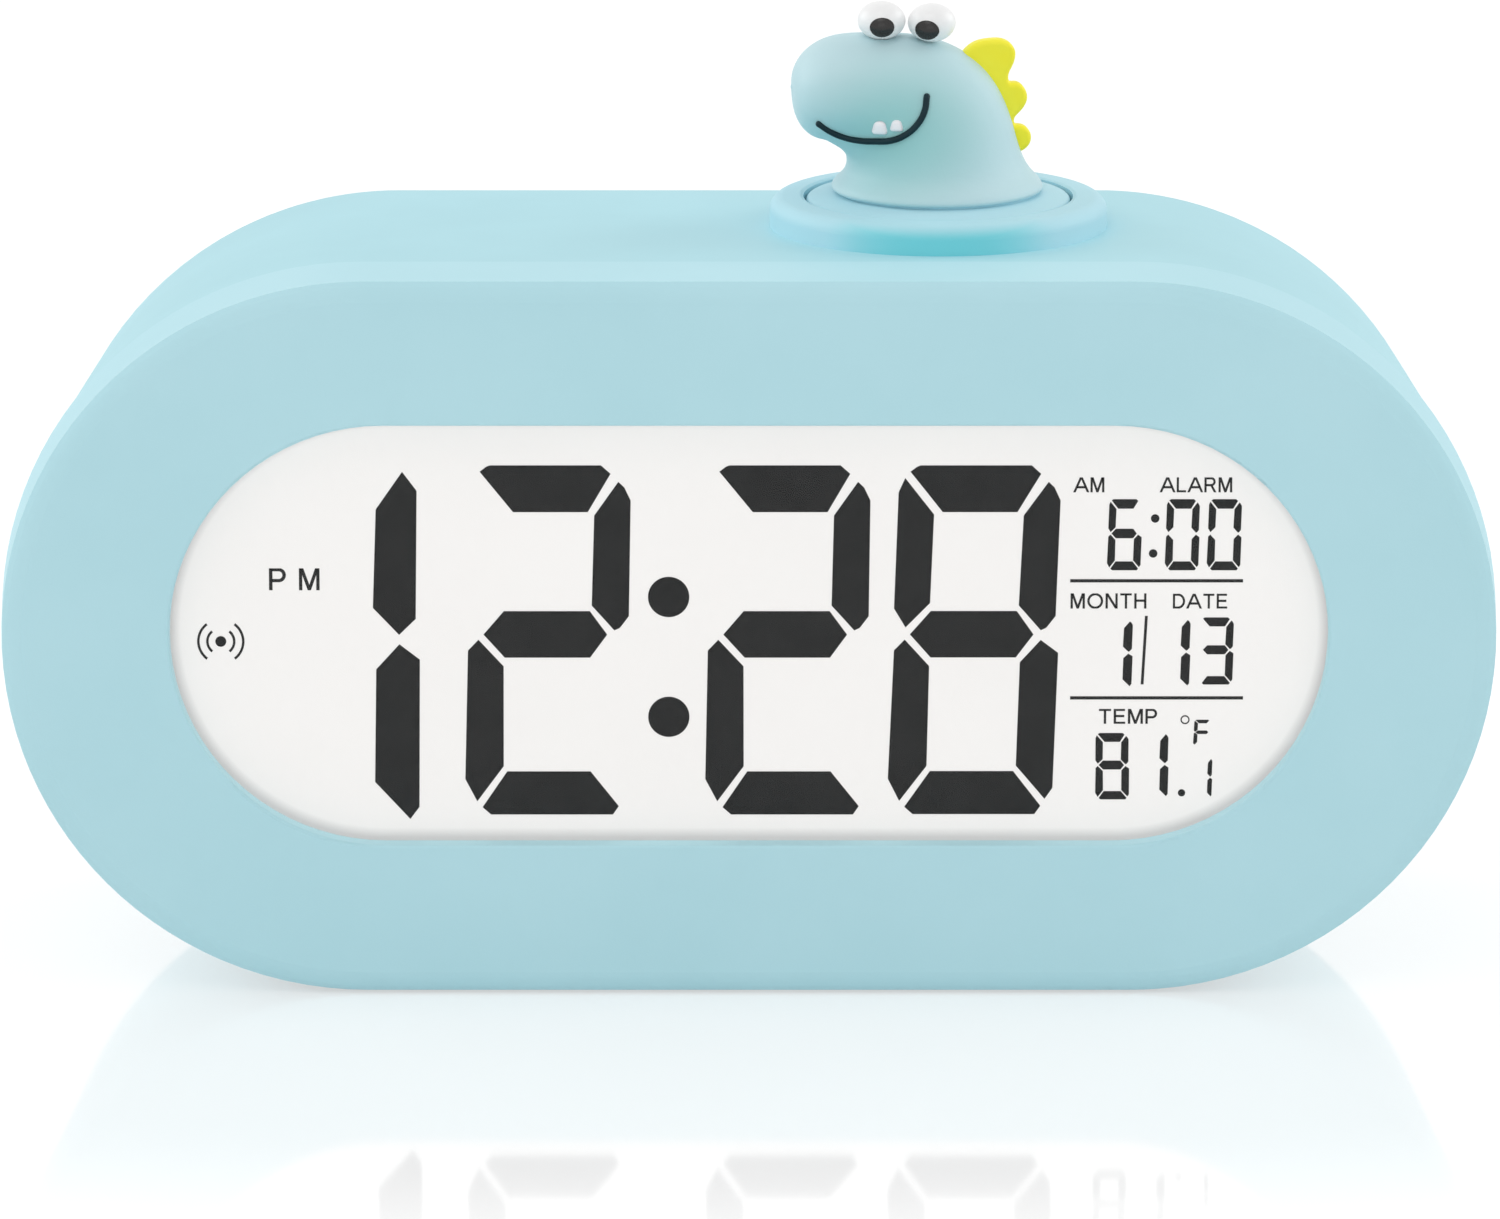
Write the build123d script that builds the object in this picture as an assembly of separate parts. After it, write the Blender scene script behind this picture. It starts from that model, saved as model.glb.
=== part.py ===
# Kids alarm clock: a pill-shaped LCD clock with a toy dinosaur on its snooze button.
# Millimetres. X to the right, Y to the back, Z up. The origin lies on the floor under the middle of the case.
import math
import os

from build123d import *

# Case shells
case_width = 150.0
case_height = 73.0
case_depth = 53.0
front_depth = 10.9
end_flare = 0.6
shell_reveal = 0.2
rear_end_draft = 3.0
rear_top_draft = 0.3
shell_wall = 2.0
face_wall = 2.2
front_bevel_depth = 0.7
front_bevel_width = 1.2
front_bevel_blend = 3.0
rear_edge_radius = 2.0
lip_depth = 2.0
lip_wall = 0.9
lip_gap = 0.1
lip_root = 2.5

# Foot pads
foot_standoff = 0.3
foot_radius = 4.0
foot_thickness = 1.0
foot_side_inset = 42.0
foot_front_inset = 6.0
foot_rear_inset = 8.0
foot_edge_radius = 0.2

# Case screws and the posts that take them
boss_end_inset = 27.0
boss_edge_inset = 8.8
boss_radius = 3.2
post_radius = 3.8
boss_reach = 4.0
post_floor = 3.0
screw_radius = 1.3
screw_bite = 8.0
screw_head_radius = 2.3
screw_head_height = 1.7
screw_fit = 0.05
screw_pass_gap = 0.25
head_gap = 0.4

# Display window, lens and LCD stack
window_side_border = 16.8
window_edge_border = 14.9
window_rise = 0.3
window_edge_radius = 0.3
lens_flange = 2.2
lens_thickness = 1.2
lens_rib = 1.2
lens_gap = 0.15
stack_gap = 0.1
lcd_margin = 1.0
lcd_glass = 1.4
contact_ledge = 4.0
guide_thickness = 3.0
guide_end_room = 2.2
reflector_thickness = 0.3
led_thickness = 1.8
led_height = 4.0
led_depth = 2.6
led_spread_share = 0.45

# Display holder
holder_gap = 0.2
holder_wall = 1.2
holder_floor = 1.5
holder_corner = 2.0
holder_ear_radius = 3.0
holder_ear_reach = 4.6
holder_ear_spread = 8.0

# Small screws for holder and boards
small_screw_radius = 0.9
small_screw_bite = 3.0
small_head_radius = 1.8
small_head_height = 1.1
small_post_radius = 2.4

# Rubber contact strip
strip_length = 84.0
strip_height = 2.2
strip_gap = 0.2

# Main board and what sits on it
board_side_inset = 6.0
board_edge_inset = 0.5
board_thickness = 1.6
board_standoff = 2.0
board_screw_inset = 4.0
board_corner = 1.5
chip_radius = 7.0
chip_height = 2.2
chip_edge_radius = 1.6
crystal_length = 11.0
crystal_width = 4.6
crystal_height = 3.5
crystal_shift = 18.0
capacitor_radius = 3.2
capacitor_height = 7.0
capacitor_shift = 16.0
capacitor_edge_radius = 0.5

# Battery bay, cells and door
cell_diameter = 10.5
cell_length = 44.5
cell_count = 3
cell_pitch = 11.3
cell_gap = 0.2
cell_nub_radius = 1.9
cell_nub_height = 0.8
cell_edge_radius = 0.6
bay_wall = 2.0
bay_floor = 1.5
contact_thickness = 0.4
contact_size = 8.0
cell_spring_length = 5.6
cell_spring_wire = 0.5
cell_spring_base = 3.6
cell_spring_tip = 2.3
cell_spring_turns = 4
spring_seat_gap = 0.05
door_thickness = 2.0
door_gap = 0.15
door_edge_gap = 0.3
door_ledge = 1.7
door_corner = 3.0
lug_width = 6.0
lug_reach = 1.6
lug_thickness = 0.9
lug_spread_share = 0.5
lug_gap = 0.3
latch_width = 13.0
latch_length = 8.0
latch_slit = 0.8
grip_width = 9.0
grip_height = 4.4
grip_depth = 0.8
grip_ridge = 0.7
grip_ridge_count = 3

# Keys and slide switch on the back
key_panel_width = 10.5
key_panel_depth = 0.8
key_panel_margin = 1.5
key_margin = 1.0
key_end_room = 7.6
key_count = 4
key_spacing = 0.45
key_gap = 0.3
key_inset = 0.2
key_flange = 0.7
key_flange_height = 0.9
key_edge_radius = 0.4
key_travel = 0.6
key_rest_gap = 0.1
tact_size = 4.5
tact_height = 2.2
tact_plunger_radius = 1.2
tact_plunger_height = 0.8
key_board_width = 9.6
key_board_thickness = 1.2
key_screw_inset = 1.9
key_post_radius = 1.6
slide_travel = 3.0
slide_body_length = 8.4
slide_body_height = 4.0
slide_stem_length = 1.6
slide_stem_height = 2.4
slide_flange_length = 3.6
slide_flange_height = 3.8
slide_flange_depth = 0.8
slide_cap_length = 3.0
slide_cap_height = 4.2
slide_cap_edge = 0.3

# Speaker, vent and temperature sensor
speaker_radius = 11.5
speaker_depth = 3.0
speaker_magnet_radius = 6.5
speaker_magnet_depth = 2.4
speaker_rim = 1.6
speaker_rib = 1.2
speaker_rib_depth = 2.4
speaker_gap = 0.15
cone_thickness = 0.4
cone_sink = 0.6
grille_hole_radius = 0.9
grille_pitch = 3.4
grille_rings = 3
vent_count = 6
vent_width = 1.3
vent_height = 6.0
vent_pitch = 3.0
sensor_radius = 1.5
sensor_length = 6.0
sensor_gap = 0.1
clip_length = 4.0
clip_wall = 1.0
clip_height = 4.0
clip_drop = 6.0

# Snooze button
snooze_offset = 19.35
collar_radius = 17.25
collar_wall_height = 3.05
collar_rise = 3.2
collar_rim_radius = 1.45
collar_lip_radius = 0.4
collar_seat_sink = 0.4
cup_wall = 1.0
cup_depth = 4.6
cup_floor = 1.4
cup_gap = 0.2
button_radius = 13.5
button_gap = 0.3
button_rise = 3.8
plinth_height = 0.22
plinth_inset = 0.6
disc_fall = 0.63
button_edge_radius = 0.5
button_skirt = 1.4
button_skirt_depth = 1.8
button_roof = 2.8
button_travel = 1.5
stem_radius = 4.0
stem_gap = 0.3
guide_wall = 1.8
guide_drop = 2.6
barb_reach = 0.7
barb_height = 1.0
stem_tip = 0.6
stem_slot = 1.6
snooze_spring_radius = 8.2
snooze_spring_wire = 0.7
snooze_spring_turns = 3
switch_size = 6.0
switch_height = 2.0
switch_plunger_radius = 1.6
switch_plunger_height = 0.8
switch_rest_gap = 0.1
snooze_board_length = 26.0
snooze_board_width = 9.0
snooze_board_thickness = 1.2
snooze_post_inset = 3.0
snooze_post_radius = 2.2

# Toy dinosaur, standing on the snooze button and facing left
dino_reach = 15.2
dino_height = 16.6
dino_turn = 6.0
dino_peg_radius = 3.0
dino_peg_length = 1.8
dino_peg_gap = 0.05
eye_radius = 2.46
eye_gap = 0.04
eye_flat_share = 0.8
pupil_radius = 1.22
pupil_depth = 0.8
pupil_sink = 0.2
pupil_bulge = 0.45
pupil_flat_share = 0.84
dino_foot_radius = 0.3
crest_thickness = 2.0
crest_edge_radius = 0.5
mouth_width = 0.7
mouth_swell_share = 1.05
tooth_width = 1.6
tooth_height = 1.3
tooth_slant = 68.0
tooth_corner = 0.35
tooth_swell_share = 1.04

# Sections of the figure from the base to the snout: under x, under z, back x, back z and half depth,
# as shares of the reach (x and depth) and of the height (z)
dino_section_shares = [
    (-0.715, 0.000, 0.700, 0.000, 0.708),
    (-0.697, 0.052, 0.683, 0.056, 0.684),
    (-0.640, 0.108, 0.622, 0.118, 0.617),
    (-0.617, 0.180, 0.553, 0.236, 0.565),
    (-0.634, 0.236, 0.476, 0.468, 0.526),
    (-0.674, 0.272, 0.294, 0.760, 0.492),
    (-0.728, 0.302, -0.053, 0.938, 0.468),
    (-0.788, 0.328, -0.450, 0.975, 0.440),
    (-0.862, 0.352, -0.742, 0.952, 0.388),
    (-0.936, 0.418, -0.905, 0.862, 0.292),
    (-0.980, 0.530, -0.978, 0.752, 0.150),
]
dino_tip_shares = (-1.0, 0.65)
head_centre_shares = (-0.40, 0.62)
eye_place_shares = [(-0.397, -0.085, 1.070), (-0.060, -0.105, 1.054)]
eye_look_shares = [(-0.085, -1.0, -0.18), (-0.365, -1.0, -0.22)]
crest_root_shares = [(0.42, 0.22), (0.28, 0.35), (-0.02, 0.77), (0.15, 0.83)]
crest_edge_shares = [
    (0.15, 0.830), (0.196, 0.882), (0.25, 0.912), (0.345, 0.929), (0.445, 0.921), (0.506, 0.872),
    (0.496, 0.766), (0.467, 0.690), (0.478, 0.662), (0.516, 0.658), (0.582, 0.614), (0.595, 0.556),
    (0.540, 0.470), (0.507, 0.425), (0.516, 0.398), (0.552, 0.391), (0.618, 0.342), (0.612, 0.273),
    (0.553, 0.228), (0.42, 0.220),
]
mouth_left_shares = ((-0.84, 0.470), (-0.66, 0.385), (-0.472, 0.373))
mouth_right_shares = ((-0.472, 0.373), (-0.215, 0.475), (-0.135, 0.663))
tooth_place_shares = [(-0.448, 0.462, 1.0), (-0.342, 0.478, 0.78)]

# Cuts run past their faces by this much
overrun = 1.0

# Places worked out from the sizes above
y_front = -case_depth / 2
y_back = case_depth / 2
y_part = y_front + front_depth
y_face = y_front + face_wall
y_wall = y_back - shell_wall
z_mid = foot_standoff + case_height / 2
flared_width = case_width + 2 * end_flare
rear_low = foot_standoff + shell_reveal
rear_width = flared_width - 2 * shell_reveal
rear_height = case_height - 2 * shell_reveal
back_width = rear_width - 2 * rear_end_draft
back_height = rear_height - rear_top_draft
z_rear = rear_low + rear_height / 2
z_back = rear_low + back_height / 2

boss_x = case_width / 2 - boss_end_inset
boss_offset = case_height / 2 - boss_edge_inset
boss_places = [(sx * boss_x, z_mid + sz * boss_offset) for sx in (-1, 1) for sz in (-1, 1)]
y_join = y_part + boss_reach
y_screw_seat = y_join + post_floor

window_width = case_width - 2 * window_side_border
window_height = case_height - 2 * window_edge_border
z_window = z_mid + window_rise
lens_width = window_width + 2 * lens_flange
lens_height = window_height + 2 * lens_flange
y_lens = y_face + lens_thickness
lcd_width = window_width + 2 * lcd_margin
lcd_height = window_height + 2 * lcd_margin
y_lcd = y_lens + stack_gap
y_lcd_ledge = y_lcd + lcd_glass
y_lcd_back = y_lcd_ledge + lcd_glass
y_guide = y_lcd_back + stack_gap
y_reflector = y_guide + guide_thickness
y_floor = y_reflector + reflector_thickness + stack_gap
y_floor_back = y_floor + holder_floor
guide_width = lcd_width - 2 * guide_end_room
guide_height = lcd_height - contact_ledge
z_guide = z_window + contact_ledge / 2
holder_inner_width = lcd_width + 2 * holder_gap
holder_inner_height = lcd_height + 2 * holder_gap
holder_width = holder_inner_width + 2 * holder_wall
holder_height = holder_inner_height + 2 * holder_wall
ear_x = holder_width / 2 + holder_ear_reach
ear_places = [(sx * ear_x, z_mid + sz * holder_ear_spread) for sx in (-1, 1) for sz in (-1, 1)]
z_strip = z_window - lcd_height / 2 + contact_ledge / 2

board_width = lcd_width - 2 * board_side_inset
board_height = lcd_height - 2 * board_edge_inset
y_board = y_floor_back + board_standoff
y_board_back = y_board + board_thickness
board_screw_x = board_width / 2 - board_screw_inset
board_screw_offset = board_height / 2 - board_screw_inset
board_screw_places = [
    (sx * board_screw_x, z_window + sz * board_screw_offset) for sx in (-1, 1) for sz in (-1, 1)
]

bay_length = cell_length + cell_spring_length + 2 * contact_thickness + 2 * cell_gap
bay_height = cell_pitch * cell_count
bay_depth = cell_diameter + 2 * cell_gap
y_seat = y_back - door_thickness - door_gap
y_bay = y_seat - bay_depth
door_width = bay_length + 2 * door_ledge
door_height = bay_height + 2 * door_ledge
z_door_foot = z_mid - door_height / 2
lug_x = bay_length / 2 * lug_spread_share
pocket_radius = math.hypot(lug_reach, door_thickness) + lug_gap

key_x = boss_x
column_length = 2 * (boss_offset - post_radius - key_margin)
key_pitch = (column_length - 2 * key_end_room) / key_count
key_radius = key_pitch / 2 - key_flange - key_spacing / 2
key_places = [z_mid + key_pitch * (key_count / 2 - i) for i in range(key_count)]
z_slide = z_mid - key_pitch * key_count / 2
y_panel = y_back - key_panel_depth
y_key_flange = y_wall - key_flange_height
y_tact = y_key_flange - key_travel - key_rest_gap - tact_plunger_height
y_key_board = y_tact - tact_height
key_screw_places = [z_mid + s * (column_length / 2 - key_screw_inset) for s in (-1, 1)]
y_slide_body = y_wall - slide_flange_depth - 2 * key_rest_gap

speaker_x = -(bay_length / 2 + bay_wall + back_width / 2 - shell_wall) / 2
y_speaker = y_wall - speaker_depth
vent_x = -snooze_offset
z_vent = (z_mid + door_height / 2 + z_mid + case_height / 2 - shell_wall) / 2
z_clip = z_vent - clip_drop
y_sensor = y_wall - clip_height + sensor_radius

snooze_y = (y_part + y_back) / 2
snooze_z = rear_low + rear_height - rear_top_draft / 2
snooze_place = Pos(snooze_offset, snooze_y, snooze_z)
bore_radius = button_radius + button_gap
cup_radius = bore_radius + cup_wall
guide_bore = stem_radius + stem_gap
guide_radius = guide_bore + guide_wall
cup_bottom = -cup_depth - cup_floor
guide_bottom = cup_bottom - guide_drop
button_under = button_rise - button_roof
stem_bottom = guide_bottom - barb_height - stem_tip
switch_top = stem_bottom - button_travel - switch_rest_gap
switch_low = switch_top - switch_plunger_height - switch_height
snooze_board_low = switch_low - snooze_board_thickness
snooze_post_spread = snooze_board_length / 2 - snooze_post_inset
dino_place = snooze_place * Pos(0, 0, button_rise) * Rot(0, 0, dino_turn)


# Helpers
def upright(y):
    return Plane(origin=(0, y, 0), x_dir=(1, 0, 0), z_dir=(0, -1, 0))


def slab(outline, y_near, y_far):
    return extrude(upright(y_far) * outline, y_far - y_near)


def taper(near, y_near, far, y_far):
    return loft([upright(y_near) * near, upright(y_far) * far], ruled=True)


def rod(x, z, radius, y_near, y_far):
    return slab(Pos(x, z) * Circle(radius), y_near, y_far)


def pin(radius, z_bottom, z_top):
    return Pos(0, 0, z_bottom) * extrude(Circle(radius), z_top - z_bottom)


def block(x, y_near, y_far, z, width, height):
    return slab(Pos(x, z) * Rectangle(width, height), y_near, y_far)


def pill(width, height, z):
    return Pos(0, z) * SlotOverall(width, height)


def turned(points, rounds=()):
    outline = make_face(Polyline(*points, close=True))
    for point, radius in rounds:
        corner = outline.vertices().sort_by_distance((*point, 0))[0]
        outline = fillet(corner, radius)
    return revolve(Plane.XZ * outline, Axis.Z)


def screw(x, z, y_seat_face, radius, bite, head_radius, head_height):
    shank = rod(x, z, radius, y_seat_face - bite, y_seat_face)
    return shank + rod(x, z, head_radius, y_seat_face, y_seat_face + head_height)


# Case
def rear_block():
    near = pill(rear_width, rear_height, z_rear)
    far = pill(back_width, back_height, z_back)
    solid = taper(near, y_part, far, y_back)
    return fillet(solid.faces().sort_by(Axis.Y)[-1].edges(), rear_edge_radius)


def foot_places():
    foot_x = case_width / 2 - foot_side_inset
    rows = (y_front + foot_front_inset, y_back - foot_rear_inset)
    return [(s * foot_x, y) for y in rows for s in (-1, 1)]


def foot_pad(x, y):
    pad = pin(foot_radius, 0, foot_thickness)
    return Pos(x, y) * fillet(pad.faces().sort_by(Axis.Z)[0].edges(), foot_edge_radius)


def cut_feet(shell):
    for x, y in foot_places():
        shell -= Pos(x, y) * pin(foot_radius + screw_fit, -overrun, foot_thickness)
    return shell


def front_shell():
    face = pill(case_width, case_height, z_mid)
    outer = taper(face, y_front, pill(flared_width, case_height, z_mid), y_part)
    brow = outer.faces().sort_by(Axis.Y)[0]
    outer = chamfer(brow.edges(), front_bevel_width, front_bevel_depth, reference=brow)
    outer = fillet(outer.faces().sort_by(Axis.Y)[0].edges(), front_bevel_blend)
    inner_height = case_height - 2 * shell_wall
    near = pill(case_width - 2 * shell_wall, inner_height, z_mid)
    far = pill(flared_width - 2 * shell_wall, inner_height, z_mid)
    shell = outer - taper(near, y_face, far, y_part)
    shell -= slab(pill(window_width, window_height, z_window), y_front - overrun, y_face + overrun)
    window_edge = shell.faces().sort_by(Axis.Y)[0].inner_wires()[0].edges()
    shell = fillet(window_edge, window_edge_radius)
    seat_width = lens_width + 2 * lens_gap
    seat_height = lens_height + 2 * lens_gap
    rib = pill(seat_width + 2 * lens_rib, seat_height + 2 * lens_rib, z_window)
    shell += slab(rib - pill(seat_width, seat_height, z_window), y_face, y_lens)
    for x, z in boss_places:
        shell += rod(x, z, boss_radius, y_face, y_join)
        shell -= rod(x, z, screw_radius + screw_fit, y_join - screw_bite, y_join + overrun)
    for x, z in ear_places:
        shell += rod(x, z, holder_ear_radius, y_face, y_floor)
        shell -= rod(x, z, small_screw_radius + screw_fit, y_floor - small_screw_bite, y_floor + overrun)
    return cut_feet(shell)


def rear_lip():
    flare_left = 2 * end_flare * lip_depth / (front_depth - face_wall)
    lip_width = flared_width - flare_left - 2 * shell_wall - 2 * lip_gap
    lip_height = case_height - 2 * shell_wall - 2 * lip_gap
    outer = pill(lip_width, lip_height, z_mid)
    inner = pill(lip_width - 2 * lip_wall, lip_height - 2 * lip_wall, z_mid)
    lip = slab(outer - inner, y_part - lip_depth, y_part)
    root = pill(rear_width - shell_wall, rear_height - shell_wall, z_rear)
    return lip + slab(root - inner, y_part, y_part + lip_root)


def grille():
    holes = [(0, 0)]
    for ring in range(1, grille_rings):
        count = 6 * ring
        for i in range(count):
            angle = 2 * math.pi * i / count
            holes.append((ring * grille_pitch * math.cos(angle), ring * grille_pitch * math.sin(angle)))
    outline = [Pos(speaker_x + x, z_mid + z) * Circle(grille_hole_radius) for x, z in holes]
    return slab(Sketch() + outline, y_wall - overrun, y_back + overrun)


def vent():
    first = vent_x - vent_pitch * (vent_count - 1) / 2
    slots = [
        Pos(first + vent_pitch * i, z_vent) * SlotOverall(vent_height, vent_width, rotation=90)
        for i in range(vent_count)
    ]
    return slab(Sketch() + slots, y_wall - overrun, y_back + overrun)


def door_outline(gap):
    return Pos(0, z_mid) * RectangleRounded(door_width + 2 * gap, door_height + 2 * gap, door_corner + gap)


def hinge_pocket(x):
    swing = Pos(x, y_back, z_door_foot) * Rot(0, 90, 0) * Cylinder(pocket_radius, lug_width + 2 * lug_gap)
    lip = y_back - door_thickness + lug_thickness + lug_gap
    keep = block(x, lip, y_back + pocket_radius, z_door_foot, lug_width + 4 * lug_gap, 2 * pocket_radius)
    return swing - keep


def rear_shell():
    shell = rear_block()
    near = pill(rear_width - 2 * shell_wall, rear_height - 2 * shell_wall, z_rear)
    far = pill(back_width - 2 * shell_wall, back_height - 2 * shell_wall, z_back)
    shell -= taper(near, y_part, far, y_wall)
    shell += rear_lip()
    outer = Pos(0, z_mid) * Rectangle(bay_length + 2 * bay_wall, bay_height + 2 * bay_wall)
    shell += slab(outer, y_bay - bay_floor, y_wall)
    shell -= block(0, y_bay, y_back + overrun, z_mid, bay_length, bay_height)
    shell -= slab(door_outline(door_edge_gap), y_seat, y_back + overrun)
    for side in (-1, 1):
        shell -= hinge_pocket(side * lug_x)
    for x, z in boss_places:
        shell += rod(x, z, post_radius, y_join, y_wall)
        shell -= rod(x, z, screw_head_radius + head_gap, y_screw_seat, y_back + overrun)
        shell -= rod(x, z, screw_radius + screw_pass_gap, y_join - overrun, y_screw_seat + overrun)
    panel = SlotOverall(column_length - 2 * key_panel_margin, key_panel_width, rotation=90)
    shell -= slab(Pos(key_x, z_mid) * panel, y_panel, y_back + overrun)
    for z in key_places:
        shell -= rod(key_x, z, key_radius + key_gap, y_wall - overrun, y_back)
    slot_length = slide_stem_length + slide_travel + 2 * key_gap
    shell -= block(key_x, y_wall - overrun, y_back, z_slide, slot_length, slide_stem_height + 2 * key_gap)
    for z in key_screw_places:
        shell += rod(key_x, z, key_post_radius, y_key_board, y_wall)
        pilot_far = y_key_board + small_screw_bite
        shell -= rod(key_x, z, small_screw_radius + screw_fit, y_key_board - overrun, pilot_far)
    ring = Circle(speaker_radius + speaker_gap + speaker_rib) - Circle(speaker_radius + speaker_gap)
    shell += slab(Pos(speaker_x, z_mid) * ring, y_wall - speaker_rib_depth, y_wall)
    shell -= grille()
    shell -= vent()
    groove = sensor_radius + sensor_gap
    shell += block(vent_x, y_wall - clip_height, y_wall, z_clip, clip_length, 2 * groove + 2 * clip_wall)
    shell -= Pos(vent_x, y_sensor, z_clip) * Rot(0, 90, 0) * Cylinder(groove, sensor_length)
    shell -= block(vent_x, y_sensor - clip_height, y_sensor, z_clip, sensor_length, 2 * groove)
    shell -= snooze_place * pin(cup_radius + cup_gap, -case_height / 2, collar_rise)
    return cut_feet(shell)


def case_screws():
    bite = post_floor + screw_bite - screw_radius
    return [
        screw(x, z, y_screw_seat, screw_radius, bite, screw_head_radius, screw_head_height)
        for x, z in boss_places
    ]


def battery_door():
    door = slab(door_outline(0), y_back - door_thickness, y_back)
    lug_top = z_door_foot + door_ledge
    for side in (-1, 1):
        lug_height = door_ledge + lug_reach
        lug_y = y_back - door_thickness
        lug_z = lug_top - lug_height / 2
        door += block(side * lug_x, lug_y, lug_y + lug_thickness, lug_z, lug_width, lug_height)
    z_top = z_door_foot + door_height
    for side in (-1, 1):
        slit_x = side * latch_width / 2
        door -= block(slit_x, y_back - case_depth / 2, y_back + overrun, z_top, latch_slit, 2 * latch_length)
    grip_z = z_top - latch_length / 2
    scoop = RectangleRounded(grip_width, grip_height, grip_height / 2 - latch_slit)
    door -= slab(Pos(0, grip_z) * scoop, y_back - grip_depth, y_back + overrun)
    ridge_pitch = grip_height / (grip_ridge_count + 1)
    for i in range(grip_ridge_count):
        ridge_z = grip_z - grip_height / 2 + ridge_pitch * (i + 1)
        ridge = SlotOverall(grip_width - 2 * grip_ridge - ridge_pitch, grip_ridge)
        door += slab(Pos(0, ridge_z) * ridge, y_back - grip_depth, y_back - grip_depth / 2)
    return door


# Display
def lens():
    return slab(pill(lens_width, lens_height, z_window), y_face, y_lens)


def lcd_panel():
    front = block(0, y_lcd, y_lcd_ledge, z_window, lcd_width, lcd_height)
    return front + block(0, y_lcd_ledge, y_lcd_back, z_guide, lcd_width, guide_height)


def light_guide():
    return block(0, y_guide, y_reflector, z_guide, guide_width, guide_height)


def reflector_sheet():
    return block(0, y_reflector, y_reflector + reflector_thickness, z_guide, guide_width, guide_height)


def backlight_leds():
    x = holder_inner_width / 2 - led_thickness / 2
    offset = guide_height / 2 * led_spread_share
    y_led = y_guide + (guide_thickness - led_depth) / 2
    return [
        block(sx * x, y_led, y_led + led_depth, z_guide + sz * offset, led_thickness, led_height)
        for sx in (-1, 1)
        for sz in (-1, 1)
    ]


def display_holder():
    frame = Pos(0, z_window) * RectangleRounded(holder_width, holder_height, holder_corner)
    holder = slab(frame, y_lcd, y_floor_back)
    holder -= block(0, y_lcd - overrun, y_floor, z_window, holder_inner_width, holder_inner_height)
    slot_length = strip_length + 2 * strip_gap
    slot_height = strip_height + 2 * strip_gap
    holder -= block(0, y_lcd, y_floor_back + overrun, z_strip, slot_length, slot_height)
    for x, z in ear_places:
        inward = math.copysign(holder_ear_reach + holder_wall / 2, -x)
        holder += rod(x, z, holder_ear_radius, y_floor, y_floor_back)
        holder += block(x + inward / 2, y_floor, y_floor_back, z, abs(inward), 2 * holder_ear_radius)
        holder -= rod(x, z, small_screw_radius + screw_pass_gap, y_floor - overrun, y_floor_back + overrun)
    for x, z in board_screw_places:
        holder += rod(x, z, small_post_radius, y_floor_back, y_board)
        holder -= rod(x, z, small_screw_radius + screw_fit, y_floor, y_board + overrun)
    return holder


def holder_screws():
    return [
        screw(x, z, y_floor_back, small_screw_radius, small_screw_bite, small_head_radius, small_head_height)
        for x, z in ear_places
    ]


def contact_strip():
    return block(0, y_lcd_ledge, y_board, z_strip, strip_length, strip_height)


# Main board
def main_board():
    outline = Pos(0, z_window) * RectangleRounded(board_width, board_height, board_corner)
    board = slab(outline, y_board, y_board_back)
    for x, z in board_screw_places:
        board -= rod(x, z, small_screw_radius + screw_pass_gap, y_board - overrun, y_board_back + overrun)
    return board


def board_screws():
    return [
        screw(x, z, y_board_back, small_screw_radius, small_screw_bite, small_head_radius, small_head_height)
        for x, z in board_screw_places
    ]


def controller_chip():
    chip = rod(0, z_window, chip_radius, y_board_back, y_board_back + chip_height)
    return fillet(chip.faces().sort_by(Axis.Y)[-1].edges(), chip_edge_radius)


def quartz_crystal():
    can = Pos(-crystal_shift, z_window) * SlotOverall(crystal_length, crystal_width)
    return slab(can, y_board_back, y_board_back + crystal_height)


def capacitor():
    can = rod(capacitor_shift, z_window, capacitor_radius, y_board_back, y_board_back + capacitor_height)
    return fillet(can.faces().sort_by(Axis.Y)[-1].edges(), capacitor_edge_radius)


# Springs, each one tube on biarcs of a quarter turn
def helix_point(share, turns, radius_low, radius_high, length):
    angle = 2 * math.pi * turns * share
    radius = radius_low + (radius_high - radius_low) * share
    return Vector(radius * math.cos(angle), radius * math.sin(angle), length * share)


def helix_tangent(share, turns, radius_low, radius_high, length):
    angle = 2 * math.pi * turns * share
    radius = radius_low + (radius_high - radius_low) * share
    widening = radius_high - radius_low
    around = 2 * math.pi * turns * radius
    x = widening * math.cos(angle) - around * math.sin(angle)
    y = widening * math.sin(angle) + around * math.cos(angle)
    return Vector(x, y, length).normalized()


def biarc(start, start_way, end, end_way):
    chord = end - start
    ways = start_way + end_way
    spread = 2 - 2 * start_way.dot(end_way)
    lean = chord.dot(ways)
    reach = (-lean + math.sqrt(lean * lean + spread * chord.dot(chord))) / spread
    first = start + start_way * reach
    second = end - end_way * reach
    middle = (first + second) * 0.5
    middle_way = (second - first).normalized()
    return [TangentArc(start, middle, tangent=start_way), TangentArc(middle, end, tangent=middle_way)]


def least_self_gap(turns, radius_low, radius_high, length, wire):
    steps = 32 * turns
    points = [helix_point(i / steps, turns, radius_low, radius_high, length) for i in range(steps + 1)]
    least = length
    for i, point in enumerate(points):
        for other in points[i + 16:]:
            least = min(least, (other - point).length)
    return least - wire


def coil(name, turns, radius_low, radius_high, length, wire):
    form = (turns, radius_low, radius_high, length)
    print(name, "least gap to itself", round(least_self_gap(*form, wire), 2), "mm")
    steps = 4 * turns
    shares = [i / steps for i in range(steps + 1)]
    points = [helix_point(s, *form) for s in shares]
    ways = [helix_tangent(s, *form) for s in shares]
    edges = [Line(points[0] - ways[0] * wire, points[0])]
    for i in range(steps):
        edges += biarc(points[i], ways[i], points[i + 1], ways[i + 1])
    edges.append(Line(points[-1], points[-1] + ways[-1] * wire))
    start = Plane(origin=points[0] - ways[0] * wire, z_dir=ways[0])
    return sweep(start * Circle(wire / 2), path=Wire(edges))


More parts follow.
